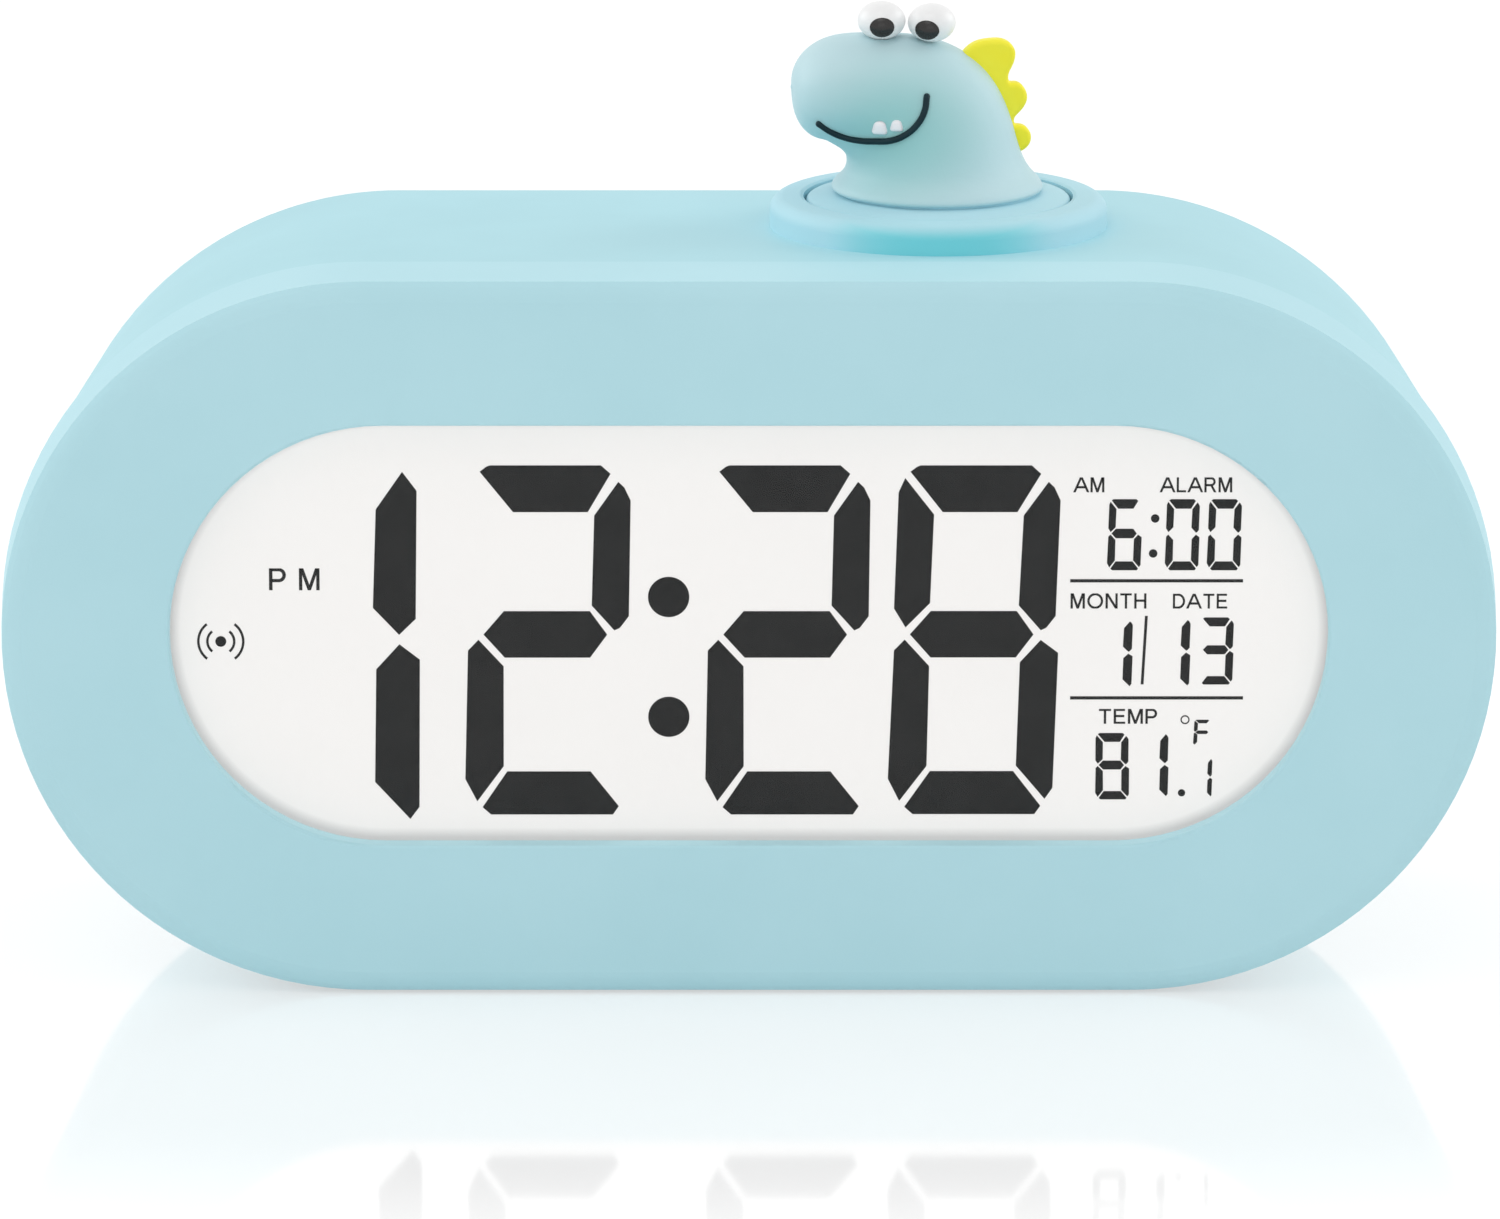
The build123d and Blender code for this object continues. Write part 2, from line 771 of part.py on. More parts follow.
# Cells and contacts
def cell_rows():
    first = z_mid - cell_pitch * (cell_count - 1) / 2
    return [(first + cell_pitch * i, 1 if i % 2 == 0 else -1) for i in range(cell_count)]


def battery_cell(z, side):
    radius = cell_diameter / 2
    body = cell_length - cell_nub_height
    can = fillet(pin(radius, 0, body).edges(), cell_edge_radius)
    can += pin(cell_nub_radius, body - cell_edge_radius, cell_length)
    start = bay_length / 2 - contact_thickness - cell_gap - cell_length
    y_cell = y_seat - cell_gap - radius
    aim = Rot(0, 90, 0) if side > 0 else Rot(0, -90, 0)
    return Pos(side * start, y_cell, z) * aim * can


def cell_spring(name, z, side):
    length = cell_spring_length - cell_spring_wire - 2 * spring_seat_gap
    spring = coil(name, cell_spring_turns, cell_spring_base, cell_spring_tip, length, cell_spring_wire)
    start = bay_length / 2 - contact_thickness - cell_spring_wire / 2 - spring_seat_gap
    y_cell = y_seat - cell_gap - cell_diameter / 2
    aim = Rot(0, 90, 0) if side > 0 else Rot(0, -90, 0)
    return Pos(-side * start, y_cell, z) * aim * spring


def battery_contacts():
    y_cell = y_seat - cell_gap - cell_diameter / 2
    x = bay_length / 2 - contact_thickness / 2
    near = y_cell - contact_size / 2
    return [
        block(side * x, near, near + contact_size, z, contact_thickness, contact_size)
        for z, _ in cell_rows()
        for side in (-1, 1)
    ]


# Keys and slide switch
def key(z):
    cap = rod(key_x, z, key_radius, y_key_flange, y_back - key_inset)
    cap = fillet(cap.faces().sort_by(Axis.Y)[-1].edges(), key_edge_radius)
    return cap + rod(key_x, z, key_radius + key_flange, y_key_flange, y_wall)


def key_switches():
    switches = []
    for z in key_places:
        body = block(key_x, y_key_board, y_tact, z, tact_size, tact_size)
        switches.append(body + rod(key_x, z, tact_plunger_radius, y_tact, y_tact + tact_plunger_height))
    return switches


def key_board():
    near = y_key_board - key_board_thickness
    board = block(key_x, near, y_key_board, z_mid, key_board_width, column_length)
    for z in key_screw_places:
        board -= rod(key_x, z, small_screw_radius + screw_pass_gap, near - overrun, y_key_board + overrun)
    return board


def key_board_screws():
    screws = []
    seat = y_key_board - key_board_thickness
    for z in key_screw_places:
        shank = rod(key_x, z, small_screw_radius, seat, seat + small_screw_bite)
        screws.append(shank + rod(key_x, z, small_head_radius, seat - small_head_height, seat))
    return screws


def slide_switch_body():
    return block(key_x, y_key_board, y_slide_body, z_slide, slide_body_length, slide_body_height)


def slide_switch_knob():
    x = key_x - slide_travel / 2
    near = y_slide_body + key_rest_gap
    knob = block(x, near, near + slide_flange_depth, z_slide, slide_flange_length, slide_flange_height)
    knob += block(x, near, y_panel + key_rest_gap, z_slide, slide_stem_length, slide_stem_height)
    cap = block(x, y_panel + key_rest_gap, y_back - key_inset, z_slide, slide_cap_length, slide_cap_height)
    cap = fillet(cap.faces().sort_by(Axis.Y)[-1].edges(), slide_cap_edge)
    return knob + cap


# Speaker and temperature sensor
def speaker_basket():
    basket = rod(speaker_x, z_mid, speaker_radius, y_speaker, y_wall)
    inner = speaker_radius - speaker_rim
    basket -= rod(speaker_x, z_mid, inner, y_speaker + cone_sink, y_wall + overrun)
    return basket + rod(speaker_x, z_mid, speaker_magnet_radius, y_speaker - speaker_magnet_depth, y_speaker)


def speaker_cone():
    centre = Pos(speaker_x, z_mid)
    rim = speaker_radius - speaker_rim - speaker_gap
    near = y_speaker + cone_sink
    far = y_wall - cone_sink
    dish = taper(centre * Circle(rim / 2), near, centre * Circle(rim), far)
    hollow_floor = centre * Circle(rim / 2 - cone_thickness)
    hollow_rim = centre * Circle(rim - cone_thickness)
    return dish - taper(hollow_floor, near + cone_thickness, hollow_rim, far)


def temperature_sensor():
    bead = fillet(pin(sensor_radius, -sensor_length / 2, sensor_length / 2).edges(), sensor_radius / 2)
    return Pos(vent_x, y_sensor, z_clip) * Rot(0, 90, 0) * bead


# Snooze button
def snooze_collar():
    shoulder = (collar_radius, collar_wall_height)
    lip = (bore_radius, collar_rise)
    foot = [(bore_radius, -collar_seat_sink), (collar_radius, -collar_seat_sink)]
    rim = turned([*foot, shoulder, lip], [(shoulder, collar_rim_radius), (lip, collar_lip_radius)])
    rim = snooze_place * rim - rear_block()
    cup = turned(
        [
            (bore_radius, collar_wall_height),
            (bore_radius, -cup_depth),
            (guide_bore, -cup_depth),
            (guide_bore, guide_bottom),
            (guide_radius, guide_bottom),
            (guide_radius, cup_bottom),
            (cup_radius, cup_bottom),
            (cup_radius, collar_wall_height),
        ]
    )
    for side in (-1, 1):
        post = Pos(side * snooze_post_spread, 0) * pin(snooze_post_radius, switch_low, cup_bottom)
        hole = pin(small_screw_radius + screw_fit, switch_low - overrun, switch_low + small_screw_bite)
        cup += post - Pos(side * snooze_post_spread, 0) * hole
    return rim + snooze_place * cup


def snooze_button():
    plinth = -dino_reach * dino_section_shares[0][0] - plinth_inset
    rim = (button_radius, button_rise - plinth_height - disc_fall)
    inner = button_radius - button_skirt
    cap = turned(
        [
            (0, button_rise),
            (plinth, button_rise),
            (plinth, button_rise - plinth_height),
            rim,
            (button_radius, -button_skirt_depth),
            (inner, -button_skirt_depth),
            (inner, button_under),
            (stem_radius, button_under),
            (stem_radius, guide_bottom),
            (stem_radius + barb_reach, guide_bottom),
            (stem_radius, guide_bottom - barb_height),
            (stem_radius, stem_bottom),
            (0, stem_bottom),
        ],
        [(rim, button_edge_radius)],
    )
    slot_top = guide_bottom + guide_drop
    slot_height = slot_top - stem_bottom + overrun
    slot = Pos(0, 0, slot_top - slot_height / 2) * Box(stem_slot, 4 * stem_radius, slot_height)
    cap -= slot
    peg_floor = button_rise - dino_peg_length - dino_peg_gap
    cap -= pin(dino_peg_radius + dino_peg_gap, peg_floor, button_rise + overrun)
    return snooze_place * cap


def snooze_spring():
    length = button_under + cup_depth - snooze_spring_wire - 2 * spring_seat_gap
    radius = snooze_spring_radius
    spring = coil("snooze_spring", snooze_spring_turns, radius, radius, length, snooze_spring_wire)
    return snooze_place * Pos(0, 0, snooze_spring_wire / 2 + spring_seat_gap - cup_depth) * spring


def snooze_switch():
    body = Pos(0, 0, switch_low + switch_height / 2) * Box(switch_size, switch_size, switch_height)
    return snooze_place * (body + pin(switch_plunger_radius, switch_low + switch_height, switch_top))


def snooze_board():
    middle = (switch_low + snooze_board_low) / 2
    board = Pos(0, 0, middle) * Box(snooze_board_length, snooze_board_width, snooze_board_thickness)
    for side in (-1, 1):
        hole = pin(small_screw_radius + screw_pass_gap, snooze_board_low - overrun, switch_low + overrun)
        board -= Pos(side * snooze_post_spread, 0) * hole
    return snooze_place * board


def snooze_screws():
    screws = []
    for side in (-1, 1):
        body = pin(small_screw_radius, snooze_board_low, snooze_board_low + small_screw_bite)
        body += pin(small_head_radius, snooze_board_low - small_head_height, snooze_board_low)
        screws.append(snooze_place * Pos(side * snooze_post_spread, 0) * body)
    return screws


# Dinosaur
def dino_point(shares):
    return shares[0] * dino_reach, shares[-1] * dino_height


def oval(half_width, half_depth):
    quarters = []
    for i in range(4):
        angles = [math.pi / 4 * (2 * i + step) for step in range(3)]
        points = [(half_width * math.cos(a), half_depth * math.sin(a)) for a in angles]
        ways = [(-half_width * math.sin(a), half_depth * math.cos(a)) for a in (angles[0], angles[-1])]
        quarters.append(Spline(*points, tangents=ways))
    return make_face(quarters)


def dino_form():
    sections = []
    for under_x, under_z, back_x, back_z, depth in dino_section_shares:
        low = Vector(under_x * dino_reach, 0, under_z * dino_height)
        high = Vector(back_x * dino_reach, 0, back_z * dino_height)
        along = (high - low).normalized()
        plane = Plane(origin=(low + high) * 0.5, x_dir=along, z_dir=(-along.Z, 0, along.X))
        sections.append(plane * oval((high - low).length / 2, depth * dino_reach))
    tip_x, tip_z = dino_point(dino_tip_shares)
    return loft([*sections, Vertex(tip_x, 0, tip_z)])


def eye_centres():
    return [Vector(x * dino_reach, y * dino_reach, z * dino_height) for x, y, z in eye_place_shares]


def eye_socket(gap):
    ball = scale(Sphere(eye_radius + gap), by=(1, 1, eye_flat_share))
    return [Pos(centre) * ball for centre in eye_centres()]


def pupil_aims():
    planes = []
    for centre, look in zip(eye_centres(), eye_look_shares):
        way = Vector(*look).normalized()
        seat = centre + way * (eye_radius - pupil_sink - pupil_depth)
        planes.append(Plane(origin=seat, x_dir=Vector(0, 0, 1).cross(way), z_dir=way))
    return planes


def dino_body(form):
    body = fillet(form.faces().sort_by(Axis.Z)[0].edges(), dino_foot_radius)
    body += pin(dino_peg_radius, -dino_peg_length, dino_height / 4)
    for ball in eye_socket(eye_gap):
        body -= ball
    return dino_place * body


def dino_eyes():
    eyes = []
    socket = scale(pin(pupil_radius + eye_gap, 0, eye_radius), by=(1, pupil_flat_share, 1))
    for ball, aim in zip(eye_socket(0), pupil_aims()):
        eyes.append(dino_place * (ball - aim * socket))
    return eyes


def dino_pupils():
    top = pupil_depth + pupil_bulge
    dome = (pupil_radius**2 + pupil_bulge**2) / (2 * pupil_bulge)
    bead = pin(pupil_radius, 0, top) & Pos(0, 0, top - dome) * Sphere(dome)
    bead = scale(bead, by=(1, pupil_flat_share, 1))
    return [dino_place * (aim * bead) for aim in pupil_aims()]


def dino_crest(form):
    edge = Spline(*(dino_point(p) for p in crest_edge_shares))
    root = Polyline(*(dino_point(p) for p in crest_root_shares))
    plate = extrude(Plane.XZ * make_face([edge, *root.edges()]), crest_thickness / 2, both=True)
    sides = plate.faces().sort_by(Axis.Y)
    plate = fillet(sides[0].edges() + sides[-1].edges(), crest_edge_radius)
    return dino_place * (plate - form)


def relief(form, outline, swell_share):
    front = extrude(Plane.XZ * outline, dino_reach)
    head_x, head_z = dino_point(head_centre_shares)
    head = Vector(head_x, 0, head_z)
    grown = Pos(head) * scale(Pos(head * -1) * form, by=swell_share)
    return (front & grown) - form


def dino_mouth(form):
    left = ThreePointArc(*(dino_point(p) for p in mouth_left_shares))
    right = ThreePointArc(*(dino_point(p) for p in mouth_right_shares))
    return dino_place * relief(form, trace([left, right], mouth_width), mouth_swell_share)


def dino_teeth(form):
    teeth = []
    for x, z, size in tooth_place_shares:
        outline = Trapezoid(tooth_width * size, tooth_height * size, tooth_slant)
        outline = fillet(outline.vertices(), tooth_corner * size)
        teeth.append(dino_place * relief(form, Pos(*dino_point((x, z))) * outline, tooth_swell_share))
    return teeth


def all_nodes():
    form = dino_form()
    nodes = {
        "front_shell": front_shell(),
        "rear_shell": rear_shell(),
        "case_screws": case_screws(),
        "battery_door": battery_door(),
        "lens": lens(),
        "lcd_panel": lcd_panel(),
        "light_guide": light_guide(),
        "reflector_sheet": reflector_sheet(),
        "backlight_leds": backlight_leds(),
        "display_holder": display_holder(),
        "holder_screws": holder_screws(),
        "contact_strip": contact_strip(),
        "main_board": main_board(),
        "board_screws": board_screws(),
        "controller_chip": controller_chip(),
        "quartz_crystal": quartz_crystal(),
        "capacitor": capacitor(),
        "battery_contacts": battery_contacts(),
        "key_board": key_board(),
        "key_board_screws": key_board_screws(),
        "key_switches": key_switches(),
        "slide_switch_body": slide_switch_body(),
        "slide_switch_knob": slide_switch_knob(),
        "speaker_basket": speaker_basket(),
        "speaker_cone": speaker_cone(),
        "temperature_sensor": temperature_sensor(),
        "snooze_collar": snooze_collar(),
        "snooze_button": snooze_button(),
        "snooze_spring": snooze_spring(),
        "snooze_switch": snooze_switch(),
        "snooze_board": snooze_board(),
        "snooze_screws": snooze_screws(),
        "dino_body": dino_body(form),
        "dino_eyes": dino_eyes(),
        "dino_pupils": dino_pupils(),
        "dino_crest": dino_crest(form),
        "dino_mouth": dino_mouth(form),
        "dino_teeth": dino_teeth(form),
    }
    for i, (x, y) in enumerate(foot_places(), start=1):
        nodes[f"foot_pad_{i}"] = foot_pad(x, y)
    for name, z in zip(("time_key", "alarm_key", "up_key", "down_key"), key_places):
        nodes[name] = key(z)
    for i, (z, side) in enumerate(cell_rows(), start=1):
        nodes[f"battery_cell_{i}"] = battery_cell(z, side)
        nodes[f"battery_spring_{i}"] = cell_spring(f"battery_spring_{i}", z, side)
    return nodes


os.makedirs("parts", exist_ok=True)
for name, shape in all_nodes().items():
    solids = shape if isinstance(shape, list) else [shape]
    pieces = [solid for piece in solids for solid in piece.solids()]
    print(name, len(pieces), round(sum(piece.volume for piece in pieces), 1))
    export_step(Compound(children=pieces) if len(pieces) > 1 else pieces[0], f"parts/{name}.step")
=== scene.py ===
import math

import bmesh
import bpy
from mathutils import Matrix, Vector
from mathutils.bvhtree import BVHTree


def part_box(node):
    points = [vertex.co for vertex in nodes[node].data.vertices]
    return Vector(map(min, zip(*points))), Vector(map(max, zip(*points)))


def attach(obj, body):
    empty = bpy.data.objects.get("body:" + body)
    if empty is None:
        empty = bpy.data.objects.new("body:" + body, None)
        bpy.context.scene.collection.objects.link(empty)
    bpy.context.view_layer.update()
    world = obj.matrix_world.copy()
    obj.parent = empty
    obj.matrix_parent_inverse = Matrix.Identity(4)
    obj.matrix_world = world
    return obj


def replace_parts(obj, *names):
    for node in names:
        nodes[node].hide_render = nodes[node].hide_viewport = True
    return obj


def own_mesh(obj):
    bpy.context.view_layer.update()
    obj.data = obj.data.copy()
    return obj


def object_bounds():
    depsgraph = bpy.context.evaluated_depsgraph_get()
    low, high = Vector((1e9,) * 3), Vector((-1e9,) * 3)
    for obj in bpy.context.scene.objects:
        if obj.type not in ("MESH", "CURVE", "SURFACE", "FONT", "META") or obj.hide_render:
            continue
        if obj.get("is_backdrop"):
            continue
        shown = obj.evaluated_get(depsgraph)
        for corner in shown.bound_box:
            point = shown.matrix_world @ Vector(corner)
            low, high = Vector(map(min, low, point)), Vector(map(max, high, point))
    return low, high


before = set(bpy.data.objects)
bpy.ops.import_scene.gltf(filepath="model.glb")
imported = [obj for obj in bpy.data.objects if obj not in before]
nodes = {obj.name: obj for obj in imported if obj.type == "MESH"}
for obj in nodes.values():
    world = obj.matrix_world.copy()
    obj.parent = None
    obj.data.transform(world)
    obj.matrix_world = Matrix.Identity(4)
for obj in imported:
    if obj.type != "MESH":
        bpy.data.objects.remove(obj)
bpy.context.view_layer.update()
mm = 0.001
print("clock loaded with", len(nodes), "parts")


# colours are written as screen values, 0 to 255
def tint(red, green, blue):
    def plain(value):
        share = value / 255
        return share / 12.92 if share <= 0.04045 else ((share + 0.055) / 1.055) ** 2.4

    return plain(red), plain(green), plain(blue), 1.0


def newFinish(name, roughness):
    finish = bpy.data.materials.new(name)
    finish.use_nodes = True
    tree = finish.node_tree
    shader = tree.nodes["Principled BSDF"]
    shader.inputs["Roughness"].default_value = roughness
    place = tree.nodes.new("ShaderNodeTexCoord").outputs["Object"]
    return finish, tree, shader, place


def speckle(tree, place, scale, detail=3.0):
    noise = tree.nodes.new("ShaderNodeTexNoise")
    noise.inputs["Scale"].default_value = scale
    noise.inputs["Detail"].default_value = detail
    tree.links.new(place, noise.inputs["Vector"])
    return noise.outputs["Fac"]


def shades(tree, amount, low, high, start=0.35, end=0.65):
    ramp = tree.nodes.new("ShaderNodeValToRGB")
    ends = ramp.color_ramp.elements
    ends[0].position, ends[0].color = start, low
    ends[1].position, ends[1].color = end, high
    tree.links.new(amount, ramp.inputs["Fac"])
    return ramp.outputs["Color"]


def spread(tree, amount, low, high):
    span = tree.nodes.new("ShaderNodeMapRange")
    span.inputs["To Min"].default_value = low
    span.inputs["To Max"].default_value = high
    tree.links.new(amount, span.inputs["Value"])
    return span.outputs["Result"]


def texture(tree, shader, amount, strength, depth):
    bump = tree.nodes.new("ShaderNodeBump")
    bump.inputs["Strength"].default_value = strength
    bump.inputs["Distance"].default_value = depth
    tree.links.new(amount, bump.inputs["Height"])
    tree.links.new(bump.outputs["Normal"], shader.inputs["Normal"])


# a base colour that wanders between the look's deep and light tints
def paint(tree, shader, amount, look):
    colour = shades(tree, amount, tint(*look["deep"]), tint(*look["light"]))
    tree.links.new(colour, shader.inputs["Base Color"])


def unevenGloss(tree, shader, amount, look):
    low, high = look["roughness"] - look["uneven"], look["roughness"] + look["uneven"]
    tree.links.new(spread(tree, amount, low, high), shader.inputs["Roughness"])


def eased(tree, value, start, end):
    span = tree.nodes.new("ShaderNodeMapRange")
    span.interpolation_type = "SMOOTHSTEP"
    span.inputs["From Min"].default_value = start
    span.inputs["From Max"].default_value = end
    tree.links.new(value, span.inputs["Value"])
    return span.outputs["Result"]


def blended(tree, amount, first, second):
    mixed = tree.nodes.new("ShaderNodeMix")
    mixed.data_type = "RGBA"
    mixed.inputs[6].default_value = first  # 6 and 7 are the colour sockets A and B
    tree.links.new(amount, mixed.inputs["Factor"])
    tree.links.new(second, mixed.inputs[7])
    return mixed.outputs[2]


def figured(tree, way, first, second):
    node = tree.nodes.new("ShaderNodeMath")
    node.operation = way
    for socket, value in zip(node.inputs, (first, second)):
        if isinstance(value, float):
            socket.default_value = value
        else:
            tree.links.new(value, socket)
    return node.outputs["Value"]


def axesOf(tree, place):
    axes = tree.nodes.new("ShaderNodeSeparateXYZ")
    tree.links.new(place, axes.inputs["Vector"])
    return axes.outputs


# painted shade: a fuller, darker colour at the front of a piece's foot, standing in for the shade and
# coloured bounce light there; it fades upwards and backwards between places in mm
def paintFootShade(tree, place, colour, look):
    axes = axesOf(tree, place)
    upward = eased(tree, axes["Z"], *(z * mm for z in look["upward"]))
    backward = eased(tree, axes["Y"], *(y * mm for y in look["backward"]))
    return blended(tree, figured(tree, "MAXIMUM", upward, backward), tint(*look["foot"]), colour)


# distance from a spot, as a share of three radii, all in mm
def offSpot(tree, place, spot, radii):
    shift = tree.nodes.new("ShaderNodeMapping")
    shift.inputs["Scale"].default_value = [1 / (radius * mm) for radius in radii]
    shift.inputs["Location"].default_value = [-along / radius for along, radius in zip(spot, radii)]
    tree.links.new(place, shift.inputs["Vector"])
    reach = tree.nodes.new("ShaderNodeVectorMath")
    reach.operation = "LENGTH"
    tree.links.new(shift.outputs["Vector"], reach.inputs[0])
    return reach.outputs["Value"]


# painted shade: a fuller, darker colour round one spot, standing in for the shade round the figure's mouth,
# chin and neck; it thins out towards its radii
def paintSpotShade(tree, place, colour, look):
    thin = eased(tree, offSpot(tree, place, look["spot"], look["radii"]), *look["thins"])
    return blended(tree, thin, tint(*look["shadeColour"]), colour)


# light from behind the panel, partly a real backlight and partly painted light that lifts the panel; it dims
# over the last mm before the pill-shaped window's edge, a painted shadow of the window's recess
def backlight(tree, place, look):
    axes = axesOf(tree, place)
    aside = figured(tree, "ABSOLUTE", axes["X"], 0.0)
    beyond = figured(tree, "MAXIMUM", figured(tree, "SUBTRACT", aside, look["straight"] * mm), 0.0)
    rise = figured(tree, "SUBTRACT", axes["Z"], look["middle"] * mm)
    across = figured(tree, "MULTIPLY", beyond, beyond)
    upright = figured(tree, "MULTIPLY", rise, rise)
    reach = figured(tree, "SQRT", figured(tree, "ADD", across, upright), 0.0)
    inside = figured(tree, "SUBTRACT", look["radius"] * mm, reach)
    level = figured(tree, "DIVIDE", inside, look["fade"] * mm)
    return shades(tree, level, tint(*look["rim"]), tint(*look["lamp"]), 0.0, 1.0)


grainDetail = 2.0


# moulded plastic: slight cloudiness in the colour, a fine eroded mould texture, uneven gloss; on some parts
# painted shade, and on the display a glow
def mouldedFinish(name, look):
    finish, tree, shader, place = newFinish(name, look["roughness"])
    cloud = speckle(tree, place, look["cloud"])
    grain = speckle(tree, place, look["grain"], grainDetail)
    colour = shades(tree, cloud, tint(*look["deep"]), tint(*look["light"]))
    # painted shade at the front of the foot
    if "foot" in look:
        colour = paintFootShade(tree, place, colour, look)
    # painted shade round one spot
    if "spot" in look:
        colour = paintSpotShade(tree, place, colour, look)
    tree.links.new(colour, shader.inputs["Base Color"])
    unevenGloss(tree, shader, grain, look)
    shader.inputs["Specular IOR Level"].default_value = look["gloss"]
    texture(tree, shader, grain, look["bump"], look["relief"])
    # a backlight glow, partly painted light, with a painted shadow at the window's edge
    if "glow" in look:
        tree.links.new(backlight(tree, place, look), shader.inputs["Emission Color"])
        shader.inputs["Emission Strength"].default_value = look["glow"]
    return finish


caseLook = {
    "cloud": 60.0, "grain": 5200.0, "roughness": 0.55, "uneven": 0.06, "gloss": 0.28, "bump": 0.12,
    "relief": 0.00004,
}
# the front and rear shells are one blue plastic; the front shell's lighter tints are painted light, standing
# in for the brighter light on its band behind the face
frontLook = {**caseLook, "deep": (188, 231, 240), "light": (191, 233, 242)}
shellLook = {**caseLook, "deep": (180, 226, 235), "light": (183, 229, 238)}
collarLook = {
    **caseLook, "deep": (186, 228, 239), "light": (189, 231, 242),
    # foot: painted shade, low down at the front of the collar and the button
    "foot": (126, 219, 228), "upward": (74.6, 76.3), "backward": (-12.0, -6.8),
}
# the light tints are painted light for the figure's lit top and sides, and the shade colour round the spot is
# painted shade for its mouth, chin and neck
figureLook = {
    "deep": (193, 224, 230), "light": (197, 227, 233), "cloud": 120.0, "grain": 4200.0,
    "shadeColour": (158, 211, 211), "spot": (15.2, -1.0, 83.8), "radii": (12.8, 13.0, 10.2), "thins": (0.1, 1.0),
    "roughness": 0.5, "uneven": 0.06, "gloss": 0.35, "bump": 0.1, "relief": 0.00004,
}
crestLook = {
    "deep": (255, 244, 52), "light": (255, 247, 64), "cloud": 300.0, "grain": 4200.0,
    "roughness": 0.5, "uneven": 0.05, "gloss": 0.35, "bump": 0.1, "relief": 0.00004,
}
eyeLook = {
    "deep": (246, 246, 246), "light": (250, 250, 250), "cloud": 400.0, "grain": 4000.0,
    "roughness": 0.3, "uneven": 0.04, "gloss": 0.5, "bump": 0.04, "relief": 0.00003,
}
pupilLook = {
    "deep": (24, 22, 21), "light": (31, 28, 27), "cloud": 500.0, "grain": 4000.0,
    "roughness": 0.28, "uneven": 0.04, "gloss": 0.5, "bump": 0.04, "relief": 0.00003,
}
mouthLook = {
    "deep": (0, 36, 44), "light": (4, 43, 51), "cloud": 500.0, "grain": 4000.0,
    "roughness": 0.45, "uneven": 0.05, "gloss": 0.25, "bump": 0.05, "relief": 0.00003,
}
toothLook = {
    "deep": (248, 246, 250), "light": (252, 250, 253), "cloud": 600.0, "grain": 4000.0,
    "roughness": 0.4, "uneven": 0.05, "gloss": 0.45, "bump": 0.04, "relief": 0.00003,
}
keyLook = {
    "deep": (146, 193, 205), "light": (152, 199, 211), "cloud": 200.0, "grain": 4500.0,
    "roughness": 0.5, "uneven": 0.06, "gloss": 0.35, "bump": 0.12, "relief": 0.00004,
}
footLook = {
    "deep": (150, 164, 170), "light": (162, 176, 182), "cloud": 400.0, "grain": 3200.0,
    "roughness": 0.8, "uneven": 0.06, "gloss": 0.2, "bump": 0.3, "relief": 0.00008,
}
holderLook = {
    "deep": (226, 227, 226), "light": (236, 236, 235), "cloud": 90.0, "grain": 3500.0,
    "roughness": 0.6, "uneven": 0.06, "gloss": 0.3, "bump": 0.15, "relief": 0.00005,
}
sheetLook = {
    "deep": (240, 240, 238), "light": (248, 248, 247), "cloud": 150.0, "grain": 2600.0,
    "roughness": 0.75, "uneven": 0.08, "gloss": 0.2, "bump": 0.2, "relief": 0.00004,
}
ledLook = {
    "deep": (232, 234, 226), "light": (248, 246, 230), "cloud": 900.0, "grain": 4000.0,
    "roughness": 0.35, "uneven": 0.05, "gloss": 0.5, "bump": 0.05, "relief": 0.00003,
}
stripLook = {
    "deep": (206, 150, 160), "light": (222, 170, 178), "cloud": 500.0, "grain": 3000.0,
    "roughness": 0.7, "uneven": 0.06, "gloss": 0.25, "bump": 0.2, "relief": 0.00005,
}
blackPartLook = {
    "deep": (26, 26, 28), "light": (38, 38, 40), "cloud": 700.0, "grain": 3800.0,
    "roughness": 0.5, "uneven": 0.08, "gloss": 0.4, "bump": 0.2, "relief": 0.00005,
}
lcdLook = {
    "deep": (160, 159, 158), "light": (163, 162, 161), "cloud": 40.0, "grain": 3000.0,
    "roughness": 0.45, "uneven": 0.05, "gloss": 0.3, "bump": 0.03, "relief": 0.00002,
    # glow and lamp: the backlight, partly real and partly painted light that lifts the panel; rim: a painted
    # shadow of the window's recess along the panel's edge
    "glow": 0.97, "lamp": (208, 206, 204), "rim": (168, 166, 165),
    "middle": 37.1, "radius": 21.6, "straight": 36.6, "fade": 1.0,
}
inkLook = {
    "deep": (28, 28, 28), "light": (34, 34, 34), "cloud": 300.0, "grain": 3000.0,
    "roughness": 0.55, "uneven": 0.05, "gloss": 0.1, "bump": 0.03, "relief": 0.00001,
}
wordLook = {**inkLook, "deep": (24, 24, 24), "light": (30, 30, 30), "gloss": 0.2}
printLook = {**wordLook, "deep": (96, 142, 156), "light": (104, 150, 164), "roughness": 0.6}


# bare and plated metal: fine drawn lines along one axis
def drawnMetal(name, look):
    finish, tree, shader, place = newFinish(name, look["roughness"])
    turn = tree.nodes.new("ShaderNodeMapping")
    turn.inputs["Scale"].default_value = look["stretch"]
    tree.links.new(place, turn.inputs["Vector"])
    lines = speckle(tree, turn.outputs["Vector"], look["lines"], look["detail"])
    paint(tree, shader, lines, look)
    unevenGloss(tree, shader, lines, look)
    shader.inputs["Metallic"].default_value = 1.0
    texture(tree, shader, lines, look["bump"], look["relief"])
    return finish


